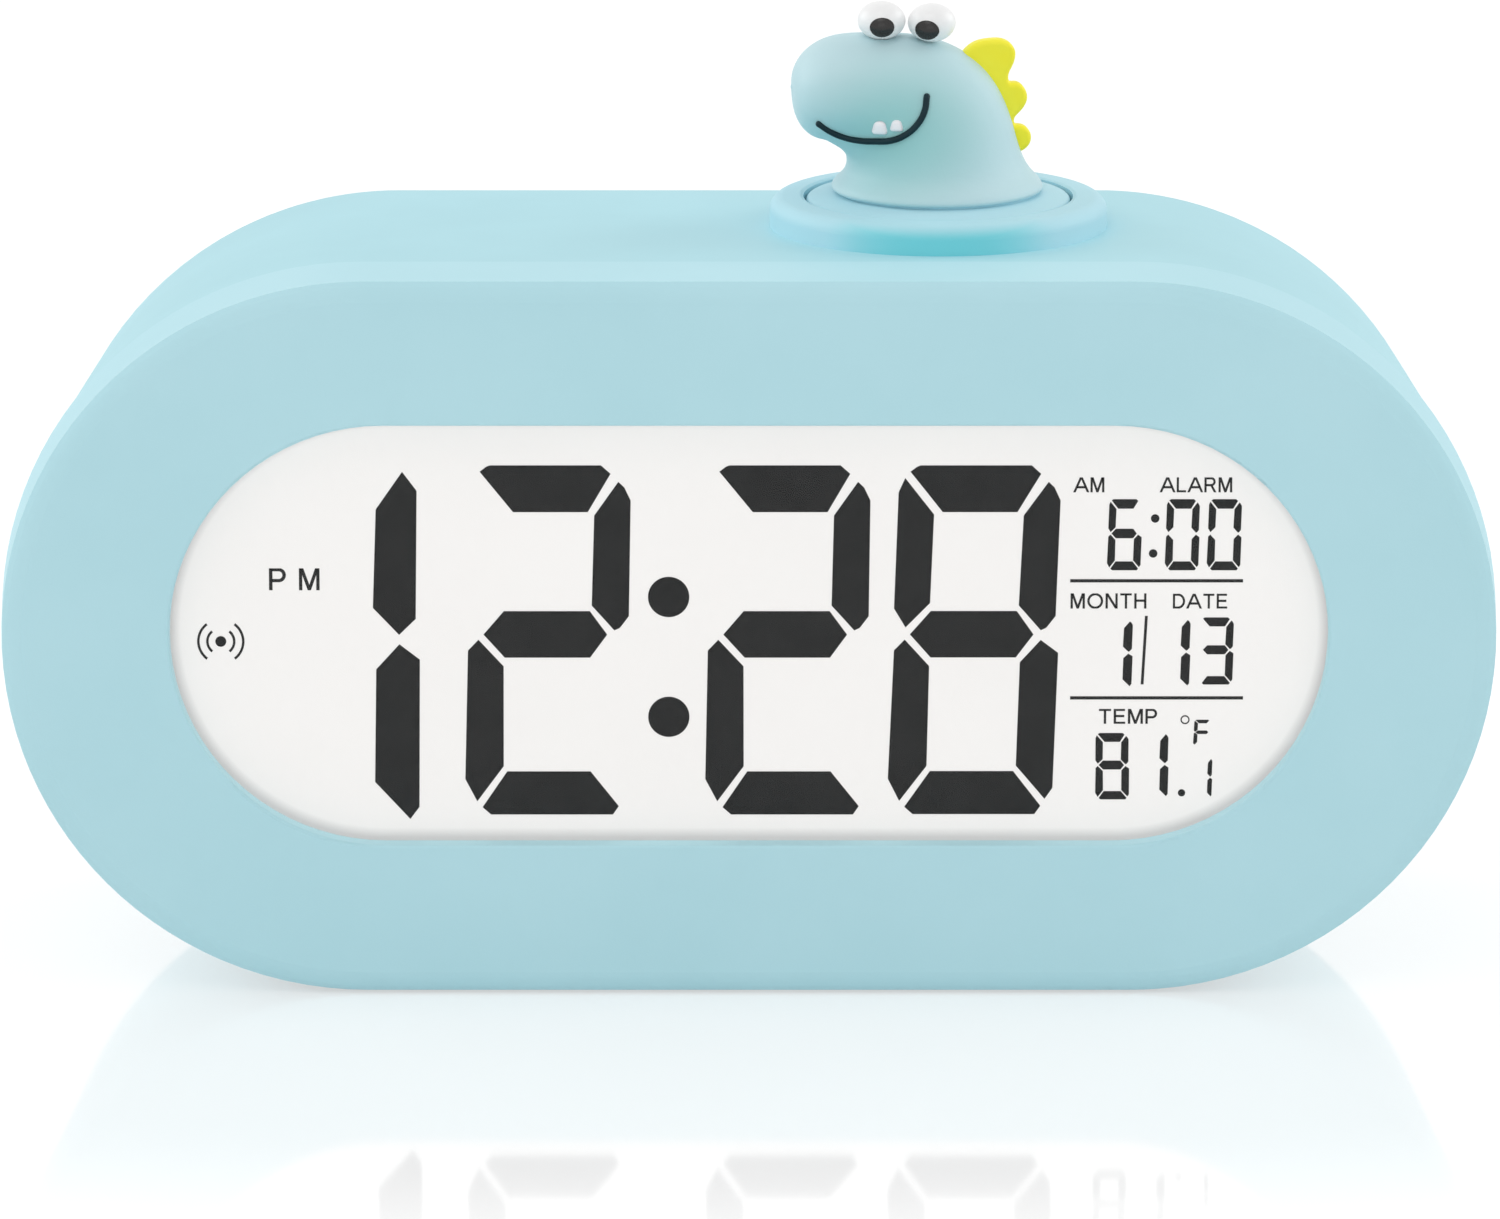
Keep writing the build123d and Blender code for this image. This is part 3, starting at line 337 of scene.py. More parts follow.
steelLook = {
    "deep": (168, 168, 170), "light": (200, 200, 202), "lines": 900.0, "stretch": (1.0, 0.12, 1.0),
    "detail": 4.0, "roughness": 0.34, "uneven": 0.1, "bump": 0.12, "relief": 0.00003,
}
canLook = {
    "deep": (196, 196, 200), "light": (214, 214, 218), "lines": 700.0, "stretch": (1.0, 0.2, 1.0),
    "detail": 4.0, "roughness": 0.3, "uneven": 0.08, "bump": 0.08, "relief": 0.00003,
}
springLook = {
    "deep": (206, 205, 200), "light": (226, 225, 220), "lines": 1500.0, "stretch": (1.0, 1.0, 0.3),
    "detail": 4.0, "roughness": 0.22, "uneven": 0.06, "bump": 0.05, "relief": 0.00003,
}


# clear plastic over the display and behind it
def clearFinish(name, look):
    finish, tree, shader, place = newFinish(name, look["roughness"])
    haze = speckle(tree, place, look["haze"])
    paint(tree, shader, haze, look)
    shader.inputs["Alpha"].default_value = look["alpha"]
    shader.inputs["Specular IOR Level"].default_value = look["gloss"]
    texture(tree, shader, haze, look["bump"], look["relief"])
    return finish


lensLook = {
    "deep": (244, 247, 248), "light": (250, 252, 252), "haze": 30.0, "alpha": 0.012,
    "roughness": 0.06, "gloss": 0.25, "bump": 0.02, "relief": 0.00002,
}
guideLook = {
    "deep": (226, 238, 240), "light": (238, 246, 247), "haze": 200.0, "alpha": 0.35,
    "roughness": 0.2, "gloss": 0.5, "bump": 0.02, "relief": 0.00002,
}


# circuit board: green lacquer with a faint run of tracks
def boardFinish(name, look):
    finish, tree, shader, place = newFinish(name, look["roughness"])
    turn = tree.nodes.new("ShaderNodeMapping")
    turn.inputs["Rotation"].default_value = (math.radians(90), 0, 0)
    tree.links.new(place, turn.inputs["Vector"])
    tracks = tree.nodes.new("ShaderNodeTexBrick")
    tracks.inputs["Color1"].default_value = tint(*look["lacquer"])
    tracks.inputs["Color2"].default_value = tint(*look["lacquerLow"])
    tracks.inputs["Mortar"].default_value = tint(*look["track"])
    tracks.inputs["Scale"].default_value = look["scale"]
    tracks.inputs["Mortar Size"].default_value = look["trackWidth"]
    tree.links.new(turn.outputs["Vector"], tracks.inputs["Vector"])
    tree.links.new(tracks.outputs["Color"], shader.inputs["Base Color"])
    texture(tree, shader, tracks.outputs["Fac"], look["bump"], look["relief"])
    return finish


boardLook = {
    "lacquer": (24, 92, 58), "lacquerLow": (20, 84, 52), "track": (52, 132, 84), "scale": 160.0,
    "trackWidth": 0.012, "roughness": 0.4, "bump": 0.2, "relief": 0.00003,
}


# speaker paper with pressed rings round the middle of the cone
def coneFinish(name, look):
    finish, tree, shader, place = newFinish(name, look["roughness"])
    centre = tree.nodes.new("ShaderNodeMapping")
    low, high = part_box("speaker_cone")
    middle = (low + high) / 2
    centre.inputs["Location"].default_value = (-middle.x, 0, -middle.z)
    centre.inputs["Scale"].default_value = (1, 0, 1)
    tree.links.new(place, centre.inputs["Vector"])
    rings = tree.nodes.new("ShaderNodeTexWave")
    rings.wave_type, rings.rings_direction = "RINGS", "SPHERICAL"
    rings.inputs["Scale"].default_value = look["rings"]
    tree.links.new(centre.outputs["Vector"], rings.inputs["Vector"])
    paint(tree, shader, speckle(tree, place, look["fibre"]), look)
    texture(tree, shader, rings.outputs["Fac"], look["bump"], look["relief"])
    return finish


coneLook = {
    "deep": (28, 28, 28), "light": (46, 45, 44), "rings": 180.0, "fibre": 1600.0, "roughness": 0.85,
    "bump": 0.5, "relief": 0.0002,
}


# plain dry cell: bare ends, two-tone jacket
def cellFinish(name, look):
    finish, tree, shader, place = newFinish(name, look["roughness"])
    bands = tree.nodes.new("ShaderNodeValToRGB")
    bands.color_ramp.interpolation = "CONSTANT"
    ends = bands.color_ramp.elements
    ends[0].position, ends[0].color = 0.0, tint(*look["bare"])
    ends[1].position, ends[1].color = look["from"], tint(*look["jacket"])
    for position, colour in ((look["split"], look["collar"]), (look["to"], look["bare"])):
        band = ends.new(position)
        band.color = tint(*colour)
    reach = tree.nodes.new("ShaderNodeMapRange")
    reach.inputs["From Min"].default_value = look["low"]
    reach.inputs["From Max"].default_value = look["high"]
    tree.links.new(axesOf(tree, place)["X"], reach.inputs["Value"])
    tree.links.new(reach.outputs["Result"], bands.inputs["Fac"])
    tree.links.new(bands.outputs["Color"], shader.inputs["Base Color"])
    shader.inputs["Metallic"].default_value = look["metal"]
    texture(tree, shader, speckle(tree, place, look["grain"]), look["bump"], look["relief"])
    return finish


cellLook = {
    "bare": (200, 200, 202), "jacket": (40, 62, 96), "collar": (190, 150, 70),
    "from": 0.02, "split": 0.72, "to": 0.97,
    "grain": 1200.0, "metal": 0.6, "roughness": 0.35, "bump": 0.05, "relief": 0.00003,
}

finishes = {
    "frontBlue": mouldedFinish("frontBlue", frontLook),
    "shellBlue": mouldedFinish("shellBlue", shellLook),
    "collarBlue": mouldedFinish("collarBlue", collarLook),
    "figureBlue": mouldedFinish("figureBlue", figureLook),
    "crestYellow": mouldedFinish("crestYellow", crestLook),
    "eyeWhite": mouldedFinish("eyeWhite", eyeLook),
    "pupilBlack": mouldedFinish("pupilBlack", pupilLook),
    "mouthDark": mouldedFinish("mouthDark", mouthLook),
    "toothWhite": mouldedFinish("toothWhite", toothLook),
    "keyBlue": mouldedFinish("keyBlue", keyLook),
    "footRubber": mouldedFinish("footRubber", footLook),
    "holderWhite": mouldedFinish("holderWhite", holderLook),
    "sheetWhite": mouldedFinish("sheetWhite", sheetLook),
    "ledWhite": mouldedFinish("ledWhite", ledLook),
    "stripRubber": mouldedFinish("stripRubber", stripLook),
    "partBlack": mouldedFinish("partBlack", blackPartLook),
    "lcdWhite": mouldedFinish("lcdWhite", lcdLook),
    "displayInk": mouldedFinish("displayInk", inkLook),
    "wordInk": mouldedFinish("wordInk", wordLook),
    "printBlue": mouldedFinish("printBlue", printLook),
    "steel": drawnMetal("steel", steelLook),
    "canAluminium": drawnMetal("canAluminium", canLook),
    "springSteel": drawnMetal("springSteel", springLook),
    "lensClear": clearFinish("lensClear", lensLook),
    "guideClear": clearFinish("guideClear", guideLook),
    "boardGreen": boardFinish("boardGreen", boardLook),
    "conePaper": coneFinish("conePaper", coneLook),
}
worn = {
    "frontBlue": ["front_shell"],
    "shellBlue": ["rear_shell", "battery_door"],
    "collarBlue": ["snooze_collar", "snooze_button"],
    "figureBlue": ["dino_body"],
    "crestYellow": ["dino_crest"],
    "eyeWhite": ["dino_eyes"],
    "pupilBlack": ["dino_pupils"],
    "mouthDark": ["dino_mouth"],
    "toothWhite": ["dino_teeth"],
    "keyBlue": ["time_key", "alarm_key", "up_key", "down_key", "slide_switch_knob"],
    "footRubber": ["foot_pad_1", "foot_pad_2", "foot_pad_3", "foot_pad_4"],
    "holderWhite": ["display_holder"],
    "sheetWhite": ["reflector_sheet"],
    "ledWhite": ["backlight_leds"],
    "stripRubber": ["contact_strip"],
    "partBlack": [
        "controller_chip", "key_switches", "slide_switch_body", "snooze_switch", "temperature_sensor",
    ],
    "lcdWhite": ["lcd_panel"],
    "steel": [
        "case_screws", "holder_screws", "board_screws", "key_board_screws", "snooze_screws", "speaker_basket",
        "battery_contacts",
    ],
    "canAluminium": ["quartz_crystal", "capacitor"],
    "springSteel": ["snooze_spring", "battery_spring_1", "battery_spring_2", "battery_spring_3"],
    "lensClear": ["lens"],
    "guideClear": ["light_guide"],
    "boardGreen": ["main_board", "key_board", "snooze_board"],
    "conePaper": ["speaker_cone"],
}


def wear(part, finish):
    part.data.materials.clear()
    part.data.materials.append(finish)


for finishName, partNames in worn.items():
    for partName in partNames:
        wear(nodes[partName], finishes[finishName])
for cell in ("battery_cell_1", "battery_cell_2", "battery_cell_3"):
    low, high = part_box(cell)
    wear(nodes[cell], cellFinish("jacket-" + cell, {**cellLook, "low": low.x, "high": high.x}))
print("finishes laid on", len(nodes), "parts")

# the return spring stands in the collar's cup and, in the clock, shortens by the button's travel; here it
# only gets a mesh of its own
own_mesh(nodes["snooze_spring"])

mergeReach = 1e-7


def addObject(name, data):
    thing = bpy.data.objects.new(name, data)
    bpy.context.scene.collection.objects.link(thing)
    return thing


def newPiece(name, bm, finish, body, smooth=False):
    bmesh.ops.remove_doubles(bm, verts=bm.verts, dist=mergeReach)
    bmesh.ops.recalc_face_normals(bm, faces=bm.faces)
    mesh = bpy.data.meshes.new(name)
    bm.to_mesh(mesh)
    bm.free()
    piece = addObject(name, mesh)
    wear(piece, finish)
    if smooth:
        mesh.polygons.foreach_set("use_smooth", [True] * len(mesh.polygons))
    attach(piece, body)
    return piece


# display: dark segments in the cell, seen through the lens, in mm on the clock's front
# digits: sign, middle, foot, height, lean, stretch; dots: x, z, radius; bars: left, right, z, width
# ring: x, z, inner and outer radius; waves: x, z, radius, width, half angle
display = {
    "front": -23.06, "thick": 0.045, "dotRound": 40, "waveSteps": 24,
    "digits": [
        ("2", -20.08, 17.88, 36.07, 0.014, 1.0), ("2", 4.06, 17.88, 36.07, 0.009, 1.0),
        ("8", 22.81, 17.92, 36.03, 0.033, 1.0), ("6", 37.76, 43.17, 7.31, 0.032, 1.0),
        ("0", 43.56, 43.17, 7.31, 0.028, 1.0), ("0", 47.78, 43.17, 7.31, 0.03, 1.0),
        ("1", 36.60, 30.87, 7.36, 0.03, 1.19), ("1", 42.42, 30.94, 7.44, 0.03, 1.17),
        ("3", 47.06, 31.37, 6.93, 0.03, 1.07), ("8", 36.65, 19.45, 6.89, 0.0, 1.07),
        ("1", 40.45, 19.48, 7.06, 0.02, 1.15), ("1", 45.73, 19.57, 4.26, 0.03, 1.03),
        ("F", 45.71, 25.03, 2.68, 0.05, 1.4),
    ],
    "firstOne": [
        [
            (-34.80, 53.28), (-33.35, 51.33), (-33.52, 38.15), (-35.20, 36.50), (-37.82, 39.28),
            (-37.47, 49.42),
        ],
        [
            (-35.18, 35.52), (-33.13, 33.94), (-33.26, 18.66), (-34.19, 17.42), (-37.72, 21.26),
            (-37.53, 32.93),
        ],
    ],
    "dots": [
        (-8.07, 40.41, 2.08), (-8.07, 28.02, 2.08), (40.79, 48.50, 0.43), (40.61, 44.90, 0.43),
        (43.67, 20.13, 0.37), (-53.15, 35.82, 0.55),
    ],
    "bars": [(32.30, 49.68, 42.08, 0.33), (32.36, 49.78, 29.98, 0.33)],
    "slash": [(39.84, 38.46), (40.13, 38.46), (39.75, 31.38), (39.46, 31.38)],
    "ring": (43.96, 27.72, 0.33, 0.46),
    "waves": [(-53.15, 35.82, 1.35, 0.25, 50), (-53.15, 35.82, 2.26, 0.25, 52)],
}
# corners of each segment as shares of the digit's height
segments = {
    "top": [
        (-0.199, 0.982), (-0.181, 0.996), (-0.171, 1.0), (0.138, 1.0), (0.165, 0.976), (0.103, 0.867),
        (-0.105, 0.867),
    ],
    "upperLeft": [
        (-0.213, 0.964), (-0.23, 0.923), (-0.231, 0.591), (-0.197, 0.537), (-0.131, 0.607), (-0.129, 0.86),
    ],
    "upperRight": [
        (0.187, 0.953), (0.204, 0.937), (0.222, 0.9), (0.221, 0.57), (0.196, 0.536), (0.181, 0.529),
        (0.117, 0.6), (0.121, 0.857),
    ],
    "middle": [
        (-0.184, 0.517), (-0.128, 0.584), (0.112, 0.584), (0.161, 0.517), (0.114, 0.451), (-0.124, 0.451),
    ],
    "lowerLeft": [
        (-0.198, 0.502), (-0.227, 0.471), (-0.231, 0.102), (-0.197, 0.038), (-0.124, 0.139), (-0.127, 0.426),
    ],
    "lowerRight": [
        (0.182, 0.501), (0.232, 0.464), (0.231, 0.076), (0.21, 0.044), (0.126, 0.14), (0.126, 0.437),
    ],
    "bottom": [
        (-0.182, 0.021), (-0.114, 0.124), (0.119, 0.124), (0.199, 0.024), (0.183, 0.0), (-0.158, 0.0),
    ],
}
lit = {
    "0": ["top", "upperLeft", "upperRight", "lowerLeft", "lowerRight", "bottom"],
    "1": ["upperRight", "lowerRight"],
    "2": ["top", "upperRight", "middle", "lowerLeft", "bottom"],
    "3": ["top", "upperRight", "middle", "lowerRight", "bottom"],
    "6": ["top", "upperLeft", "middle", "lowerLeft", "lowerRight", "bottom"],
    "8": list(segments),
    "F": ["top", "upperLeft", "middle", "lowerLeft"],
}


def thicken(bm, faces, depth):
    grown = bmesh.ops.extrude_face_region(bm, geom=faces)
    moved = [v for v in grown["geom"] if isinstance(v, bmesh.types.BMVert)]
    bmesh.ops.translate(bm, verts=moved, vec=(0, depth * mm, 0))


def onDisplay(x, z):
    return Vector((x * mm, display["front"] * mm, z * mm))


def layPlate(bm, corners):
    rim = [bm.verts.new(onDisplay(x, z)) for x, z in corners]
    thicken(bm, [bm.faces.new(rim)], display["thick"])


def layDot(bm, x, z, radius):
    place = Matrix.Translation(onDisplay(x, z)) @ Matrix.Rotation(math.radians(90), 4, "X")
    dot = bmesh.ops.create_circle(
        bm, cap_ends=True, segments=display["dotRound"], radius=radius * mm, matrix=place,
    )
    thicken(bm, [dot["verts"][0].link_faces[0]], display["thick"])


def layArc(bm, x, z, inner, outer, start, sweep, steps):
    centre = onDisplay(x, z)
    across = Vector((math.cos(math.radians(start)), 0, math.sin(math.radians(start))))
    ends = [bm.verts.new(centre + across * r * mm) for r in (inner, outer)]
    edge = bm.edges.new(ends)
    faces = set(bm.faces)
    bmesh.ops.spin(
        bm, geom=[edge], cent=centre, axis=(0, -1, 0), angle=math.radians(sweep), steps=steps,
        use_merge=sweep == 360,
    )
    thicken(bm, [f for f in bm.faces if f not in faces], display["thick"])


def layDigit(bm, sign, x, foot, height, lean, stretch):
    for name in lit[sign]:
        corners = [(u * stretch + lean * (v - 0.5), v) for u, v in segments[name]]
        layPlate(bm, [(x + u * height, foot + v * height) for u, v in corners])


def layWaves(bm):
    for x, z, radius, width, reach in display["waves"]:
        for start in (180 - reach, -reach):
            layArc(bm, x, z, radius - width / 2, radius + width / 2, start, 2 * reach, display["waveSteps"])


bm = bmesh.new()
for digit in display["digits"]:
    layDigit(bm, *digit)
for corners in display["firstOne"]:
    layPlate(bm, corners)
for dot in display["dots"]:
    layDot(bm, *dot)
newPiece("display-digits", bm, finishes["displayInk"], "case")

bm = bmesh.new()
for left, right, z, width in display["bars"]:
    foot, top = z - width / 2, z + width / 2
    layPlate(bm, [(left, foot), (right, foot), (right, top), (left, top)])
layPlate(bm, display["slash"])
layArc(bm, *display["ring"], 0, 360, display["dotRound"])
layWaves(bm)
newPiece("display-marks", bm, finishes["wordInk"], "case")
print("display segments laid")

# plain capitals as strokes: width, then lines of points as shares of the height; a centre and two radii
# between points make half an oval to the right, and a lone one a whole oval
capitals = {
    "A": (0.90, [[(-0.03, -0.06), (0.45, 1.04), (0.93, -0.06)], [(0.14, 0.34), (0.76, 0.34)]]),
    "D": (0.80, [[(0.065, -0.06), (0.065, 1.06)], [(0.065, 0.94), (0.34, 0.5, 0.40, 0.44), (0.065, 0.06)]]),
    "E": (0.70, [[(0.70, 0.06), (0.065, 0.06), (0.065, 0.94), (0.68, 0.94)], [(0.065, 0.52), (0.64, 0.52)]]),
    "F": (0.66, [[(0.065, -0.06), (0.065, 0.94), (0.66, 0.94)], [(0.065, 0.50), (0.58, 0.50)]]),
    "H": (0.76, [
        [(0.065, -0.06), (0.065, 1.06)], [(0.695, -0.06), (0.695, 1.06)], [(0.065, 0.52), (0.695, 0.52)],
    ]),
    "I": (0.13, [[(0.065, -0.06), (0.065, 1.06)]]),
    "L": (0.62, [[(0.065, 1.06), (0.065, 0.06), (0.62, 0.06)]]),
    "M": (0.90, [
        [(0.065, -0.06), (0.065, 1.06)], [(0.09, 1.06), (0.45, 0.02), (0.81, 1.06)],
        [(0.835, -0.06), (0.835, 1.06)],
    ]),
    "N": (0.76, [
        [(0.065, -0.06), (0.065, 1.06)], [(0.04, 1.06), (0.72, -0.06)], [(0.695, -0.06), (0.695, 1.06)],
    ]),
    "O": (1.0, [[(0.5, 0.5, 0.435, 0.45)]]),
    "P": (0.70, [[(0.065, -0.06), (0.065, 1.06)], [(0.065, 0.94), (0.41, 0.69, 0.225, 0.25), (0.065, 0.44)]]),
    "R": (0.78, [
        [(0.065, -0.06), (0.065, 1.06)], [(0.065, 0.94), (0.45, 0.71, 0.22, 0.23), (0.065, 0.48)],
        [(0.44, 0.50), (0.75, -0.06)],
    ]),
    "T": (0.74, [[(0.0, 0.94), (0.74, 0.94)], [(0.37, -0.06), (0.37, 0.94)]]),
    "U": (0.76, [
        [
            (0.065, 1.06), (0.065, 0.36), (0.16, 0.13), (0.38, 0.06), (0.60, 0.13), (0.695, 0.36),
            (0.695, 1.06),
        ],
    ]),
    "W": (1.14, [[(0.0, 1.06), (0.28, -0.02), (0.57, 0.98), (0.86, -0.02), (1.14, 1.06)]]),
}
strokes = {"weight": 0.148, "gap": 0.17, "round": 12}


def penPath(bm, line, shift):
    points = []
    whole = len(line) == 1
    sweep = 360 if whole else 180
    steps = strokes["round"] * sweep // 180
    turns = [math.radians(90 - sweep * i / steps) for i in range(steps if whole else steps + 1)]
    for x, z, *oval in line:
        if oval:
            points += [(x + oval[0] * math.cos(turn), z + oval[1] * math.sin(turn)) for turn in turns]
        else:
            points.append((x, z))
    knots = [bm.verts.new((x + shift, 0, z)) for x, z in points]
    pairs = list(zip(knots, knots[1:]))
    if whole:
        pairs.append((knots[-1], knots[0]))
    return [bm.edges.new(pair) for pair in pairs]


# one word as inked ribbons on edge, one high and cut level at head and foot
def inkWord(text):
    bm = bmesh.new()
    along, edges = 0.0, []
    for sign in text:
        wide, lines = capitals[sign]
        for line in lines:
            edges += penPath(bm, line, along)
        along += wide + strokes["gap"]
    grown = bmesh.ops.extrude_edge_only(bm, edges=edges)["geom"]
    bmesh.ops.translate(bm, verts=[v for v in grown if isinstance(v, bmesh.types.BMVert)], vec=(0, 1, 0))
    ribbon = bpy.data.meshes.new("word")
    bm.to_mesh(ribbon)
    holder = addObject("word", ribbon)
    ink = holder.modifiers.new("ink", "SOLIDIFY")
    ink.thickness, ink.offset, ink.use_even_offset = strokes["weight"], 0.0, True
    inked = holder.evaluated_get(bpy.context.evaluated_depsgraph_get())
    solid = bpy.data.meshes.new_from_object(inked)
    bpy.data.objects.remove(holder)
    bm.clear()
    bm.from_mesh(solid)
    for height, way in ((0.0, -1), (1.0, 1)):
        everything = bm.verts[:] + bm.edges[:] + bm.faces[:]
        cut = bmesh.ops.bisect_plane(
            bm, geom=everything, plane_co=(0, 0, height), plane_no=(0, 0, way), clear_outer=True,
        )
        bmesh.ops.edgenet_fill(bm, edges=[e for e in cut["geom_cut"] if isinstance(e, bmesh.types.BMEdge)])
    bmesh.ops.recalc_face_normals(bm, faces=bm.faces)
    bm.to_mesh(solid)
    bm.free()
    return solid, along - strokes["gap"]


def addWord(bm, text, wide, tall, place, depth):
    solid, length = inkWord(text)
    solid.transform(place @ Matrix.Diagonal((wide * mm / length, depth * mm, tall * mm, 1)))
    bm.from_mesh(solid)
    bpy.data.meshes.remove(solid)


# function words on the display: text, left, right, foot, top in mm
words = [
    ("P", -48.22, -46.56, 41.11, 43.36), ("M", -45.21, -43.18, 41.11, 43.36),
    ("AM", 32.67, 35.65, 51.19, 52.72), ("ALARM", 41.34, 48.48, 51.19, 52.72),
    ("MONTH", 32.36, 39.96, 39.22, 40.78), ("DATE", 42.65, 48.10, 39.22, 40.74),
    ("TEMP", 35.28, 41.13, 27.30, 28.83),
]
bm = bmesh.new()
for text, left, right, foot, top in words:
    place = Matrix.Translation(onDisplay(left, foot))
    addWord(bm, text, right - left, top - foot, place, display["thick"])
newPiece("display-words", bm, finishes["wordInk"], "case")
print("display words laid")

# printed words beside the keys on the back: text, start, width, foot in mm, read from behind
backWords = {
    "wall": 26.5, "thick": 0.02, "tall": 1.9,
    "lines": [
        ("TIME", 41.2, 5.6, 51.15), ("ALARM", 41.2, 7.4, 43.5), ("UP", 41.2, 2.9, 35.85),
        ("DOWN", 41.2, 6.6, 28.2), ("OFF", 41.2, 4.1, 20.55), ("ON", 57.9, 3.1, 20.55),
    ],
}
bm = bmesh.new()
for text, start, wide, foot in backWords["lines"]:
    corner = Vector((start, backWords["wall"] + backWords["thick"], foot)) * mm
    place = Matrix.Translation(corner) @ Matrix.Rotation(math.pi, 4, "Z")
    addWord(bm, text, wide, backWords["tall"], place, backWords["thick"])
newPiece("key-words", bm, finishes["printBlue"], "case")
print("back words printed")

# toy figure: its own place on the button, and pieces laid on its skin; x and z in mm from its foot
figure = {"foot": (19.35, 5.45, 76.75), "turn": 6.0, "clear": 30.0}
figureTurn = Matrix.Rotation(math.radians(figure["turn"]), 4, "Z")
figurePlace = Matrix.Translation(Vector(figure["foot"]) * mm) @ figureTurn
bodyMesh = nodes["dino_body"].data
skin = BVHTree.FromPolygons([v.co for v in bodyMesh.vertices], [p.vertices for p in bodyMesh.polygons])


def onSkin(x, z):
    start = figurePlace @ Vector((x * mm, -figure["clear"] * mm, z * mm))
    point, normal, _, _ = skin.ray_cast(start, figurePlace.to_3x3() @ Vector((0, 1, 0)))
    return point, normal


mouth = {
    "radius": 0.33, "proud": 0.12, "round": 7, "steps": 8, "endRound": 12,
    "path": [
        (-12.77, 7.88), (-11.52, 7.02), (-10.14, 6.42), (-8.67, 6.16), (-7.17, 6.19), (-5.63, 6.38),
        (-4.22, 7.04), (-3.08, 8.08), (-2.34, 9.40), (-2.07, 10.84),
    ],
}


def onMouth(x, z):
    point, normal = onSkin(x, z)
    return point + normal * mouth["proud"] * mm


def pressMouth():
    curve = bpy.data.curves.new("mouth", "CURVE")
    curve.dimensions = "3D"
    curve.bevel_depth, curve.bevel_resolution = mouth["radius"] * mm, mouth["round"]
    curve.resolution_u, curve.use_fill_caps = mouth["steps"], True
    line = curve.splines.new("BEZIER")
    line.bezier_points.add(len(mouth["path"]) - 1)
    for knot, place in zip(line.bezier_points, mouth["path"]):
        knot.co = onMouth(*place)
        knot.handle_left_type = knot.handle_right_type = "AUTO"
    holder = addObject("mouth", curve)
    bpy.context.view_layer.update()
    tube = bpy.data.meshes.new_from_object(holder)
    bpy.data.objects.remove(holder)
    bm = bmesh.new()
    bm.from_mesh(tube)
    bpy.data.meshes.remove(tube)
    for place in (mouth["path"][0], mouth["path"][-1]):  # rounded ends
        bmesh.ops.create_uvsphere(
            bm, u_segments=2 * mouth["endRound"], v_segments=mouth["endRound"],
            radius=mouth["radius"] * mm, matrix=Matrix.Translation(onMouth(*place)),
        )
    return newPiece("mouth-line", bm, finishes["mouthDark"], "snooze", smooth=True)


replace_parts(pressMouth(), "dino_mouth")

# pegs: x, z, width, height
teeth = {
    "thick": 0.9, "sink": 0.06, "taper": 0.6, "thin": 0.8, "round": 0.26, "steps": 5,
    "pegs": [(-6.83, 7.66, 1.85, 1.5), (-5.15, 7.93, 1.5, 1.2)],
}


def pressTeeth():
    bm = bmesh.new()
    for x, z, wide, tall in teeth["pegs"]:
        peg = bmesh.ops.create_cube(bm, size=mm)["verts"]
        bmesh.ops.scale(bm, verts=peg, vec=(wide, teeth["thick"], tall))
        bmesh.ops.scale(bm, verts=[v for v in peg if v.co.z > 0], vec=(teeth["taper"], teeth["thin"], 1))
        edges = list({e for v in peg for e in v.link_edges})
        rounded = bmesh.ops.bevel(
            bm, geom=edges, offset=teeth["round"] * wide * mm, affect="EDGES", segments=teeth["steps"],
            profile=0.5, material=-1,
        )
        peg = list({v for f in rounded["faces"] for v in f.verts} | {v for v in peg if v.is_valid})
        point, normal = onSkin(x, z)
        upward = (Vector((0, 0, 1)) - normal * normal.z).normalized()
        turn = Matrix((-normal.cross(upward), -normal, upward)).transposed().to_4x4()
        seat = Matrix.Translation(point - normal * teeth["sink"] * mm)
        bmesh.ops.transform(bm, verts=peg, matrix=seat @ turn)
    return newPiece("mouth-teeth", bm, finishes["toothWhite"], "snooze", smooth=True)


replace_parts(pressTeeth(), "dino_teeth")
print("mouth line and teeth laid on the figure")

# studio: pale floor whose faint mirror fades to white, soft light all round, large soft lamps above,
# at both sides and low in front; lamps: name, place, size, power
studio = {
    "floorSize": 6.0, "floorGrid": 8, "floorCloud": 3.0,
    "floorPale": (250, 250, 250), "floorDeep": (158, 158, 158), "floorLight": (162, 162, 162),
    "floorRoughness": 0.06, "floorGloss": 0.42, "floorGlow": 0.55, "farGlow": 0.73,
    "mirrorRadii": (210.0, 130.0, 100.0), "mirrorFades": (0.62, 1.05),
    "roomLight": 0.66, "aim": (0.0, 0.0, 0.05),
    "lamps": [
        ("frontLamp", (-0.3, -1.0, 1.9), 1.6, 7.0),
        ("leftLamp", (-1.5, 0.5, 0.7), 1.2, 7.0),
        ("rightLamp", (1.5, 0.5, 0.7), 1.2, 7.0),
        ("lowLamp", (0.0, -1.4, 0.15), 1.2, 1.5),
    ],
}


# one for rays from the camera or off gloss and glass, so that they meet a white room
def seenRay(tree):
    path = tree.nodes.new("ShaderNodeLightPath")
    seen = path.outputs["Is Camera Ray"]
    for ray in ("Is Glossy Ray", "Is Transmission Ray"):
        seen = figured(tree, "MAXIMUM", seen, path.outputs[ray])
    return seen


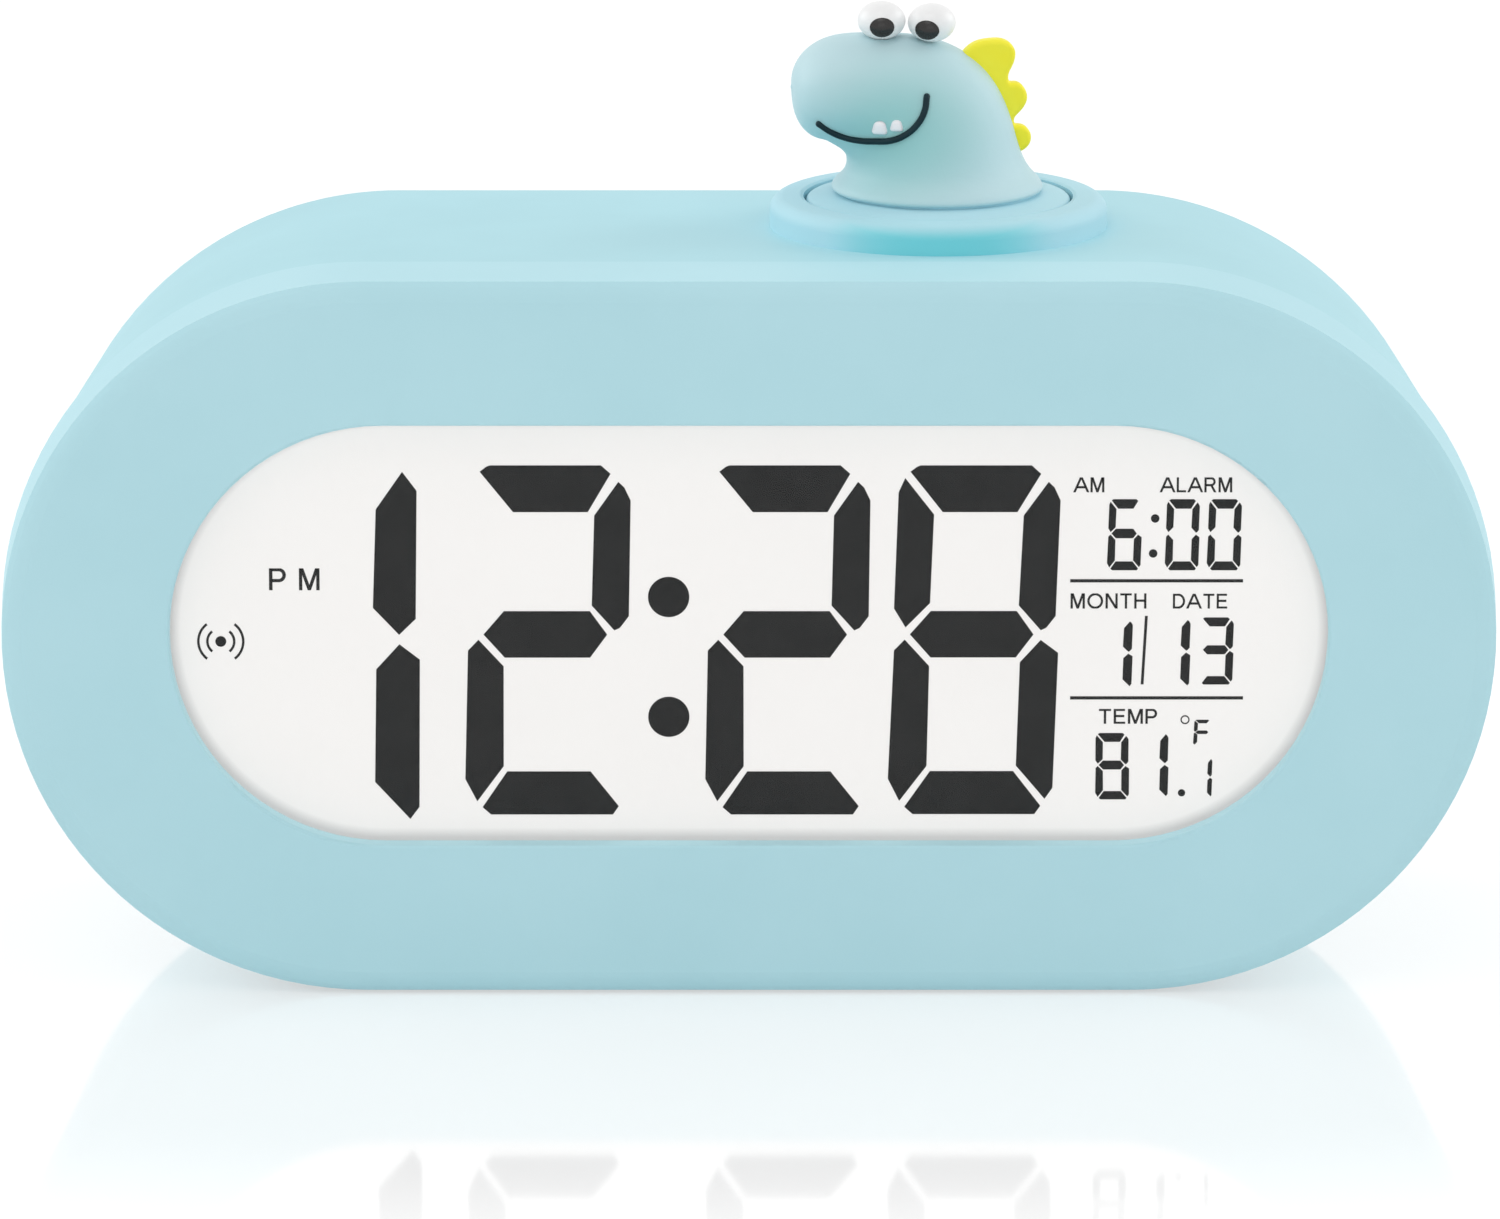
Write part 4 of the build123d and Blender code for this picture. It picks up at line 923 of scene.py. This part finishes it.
def layFloor():
    bm = bmesh.new()
    squares = studio["floorGrid"]
    bmesh.ops.create_grid(bm, x_segments=squares, y_segments=squares, size=studio["floorSize"] / 2)
    mesh = bpy.data.meshes.new("floor")
    bm.to_mesh(mesh)
    bm.free()
    floor = addObject("floor", mesh)
    finish, tree, shader, place = newFinish("floorPale", studio["floorRoughness"])
    seen = seenRay(tree)
    cloud = speckle(tree, place, studio["floorCloud"])
    grey = shades(tree, cloud, tint(*studio["floorDeep"]), tint(*studio["floorLight"]))
    tree.links.new(blended(tree, seen, tint(*studio["floorPale"]), grey), shader.inputs["Base Color"])
    away = eased(tree, offSpot(tree, place, (0, 0, 0), studio["mirrorRadii"]), *studio["mirrorFades"])
    dull = figured(tree, "MULTIPLY", away, seen)
    tree.links.new(spread(tree, dull, studio["floorGloss"], 0.0), shader.inputs["Specular IOR Level"])
    shader.inputs["Emission Color"].default_value = (1, 1, 1, 1)
    glow = figured(tree, "MULTIPLY", seen, spread(tree, dull, studio["floorGlow"], studio["farGlow"]))
    tree.links.new(glow, shader.inputs["Emission Strength"])
    wear(floor, finish)
    floor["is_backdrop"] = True


def lightRoom():
    world = bpy.data.worlds.new("room")
    bpy.context.scene.world = world
    world.use_nodes = True
    tree = world.node_tree
    sky = tree.nodes["Background"]
    sky.inputs["Color"].default_value = (1, 1, 1, 1)
    tree.links.new(spread(tree, seenRay(tree), studio["roomLight"], 1.0), sky.inputs["Strength"])
    for name, place, size, power in studio["lamps"]:
        lamp = bpy.data.lights.new(name, "AREA")
        lamp.shape, lamp.size, lamp.energy = "DISK", size, power
        holder = addObject(name, lamp)
        holder.location = place
        holder.rotation_euler = (Vector(studio["aim"]) - holder.location).to_track_quat("-Z", "Y").to_euler()


layFloor()
lightRoom()
bpy.context.scene.view_settings.view_transform = "Standard"

camera = {
    "target": (0.00011, 0.0, 0.0338), "distance": 1.2, "elevation": 13.0, "lens": 280.7, "sensor": 36.0,
    "near": 0.01, "far": 50.0,
}


def setCamera():
    lens = bpy.data.cameras.new("camera")
    lens.lens, lens.sensor_width, lens.sensor_fit = camera["lens"], camera["sensor"], "HORIZONTAL"
    lens.clip_start, lens.clip_end = camera["near"], camera["far"]
    holder = addObject("camera", lens)
    rise = math.radians(camera["elevation"])
    away = Vector((0, -math.cos(rise), math.sin(rise)))
    holder.location = Vector(camera["target"]) + away * camera["distance"]
    holder.rotation_euler = (-away).to_track_quat("-Z", "Y").to_euler()
    bpy.context.scene.camera = holder


setCamera()
low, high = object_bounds()
print("studio and camera set")
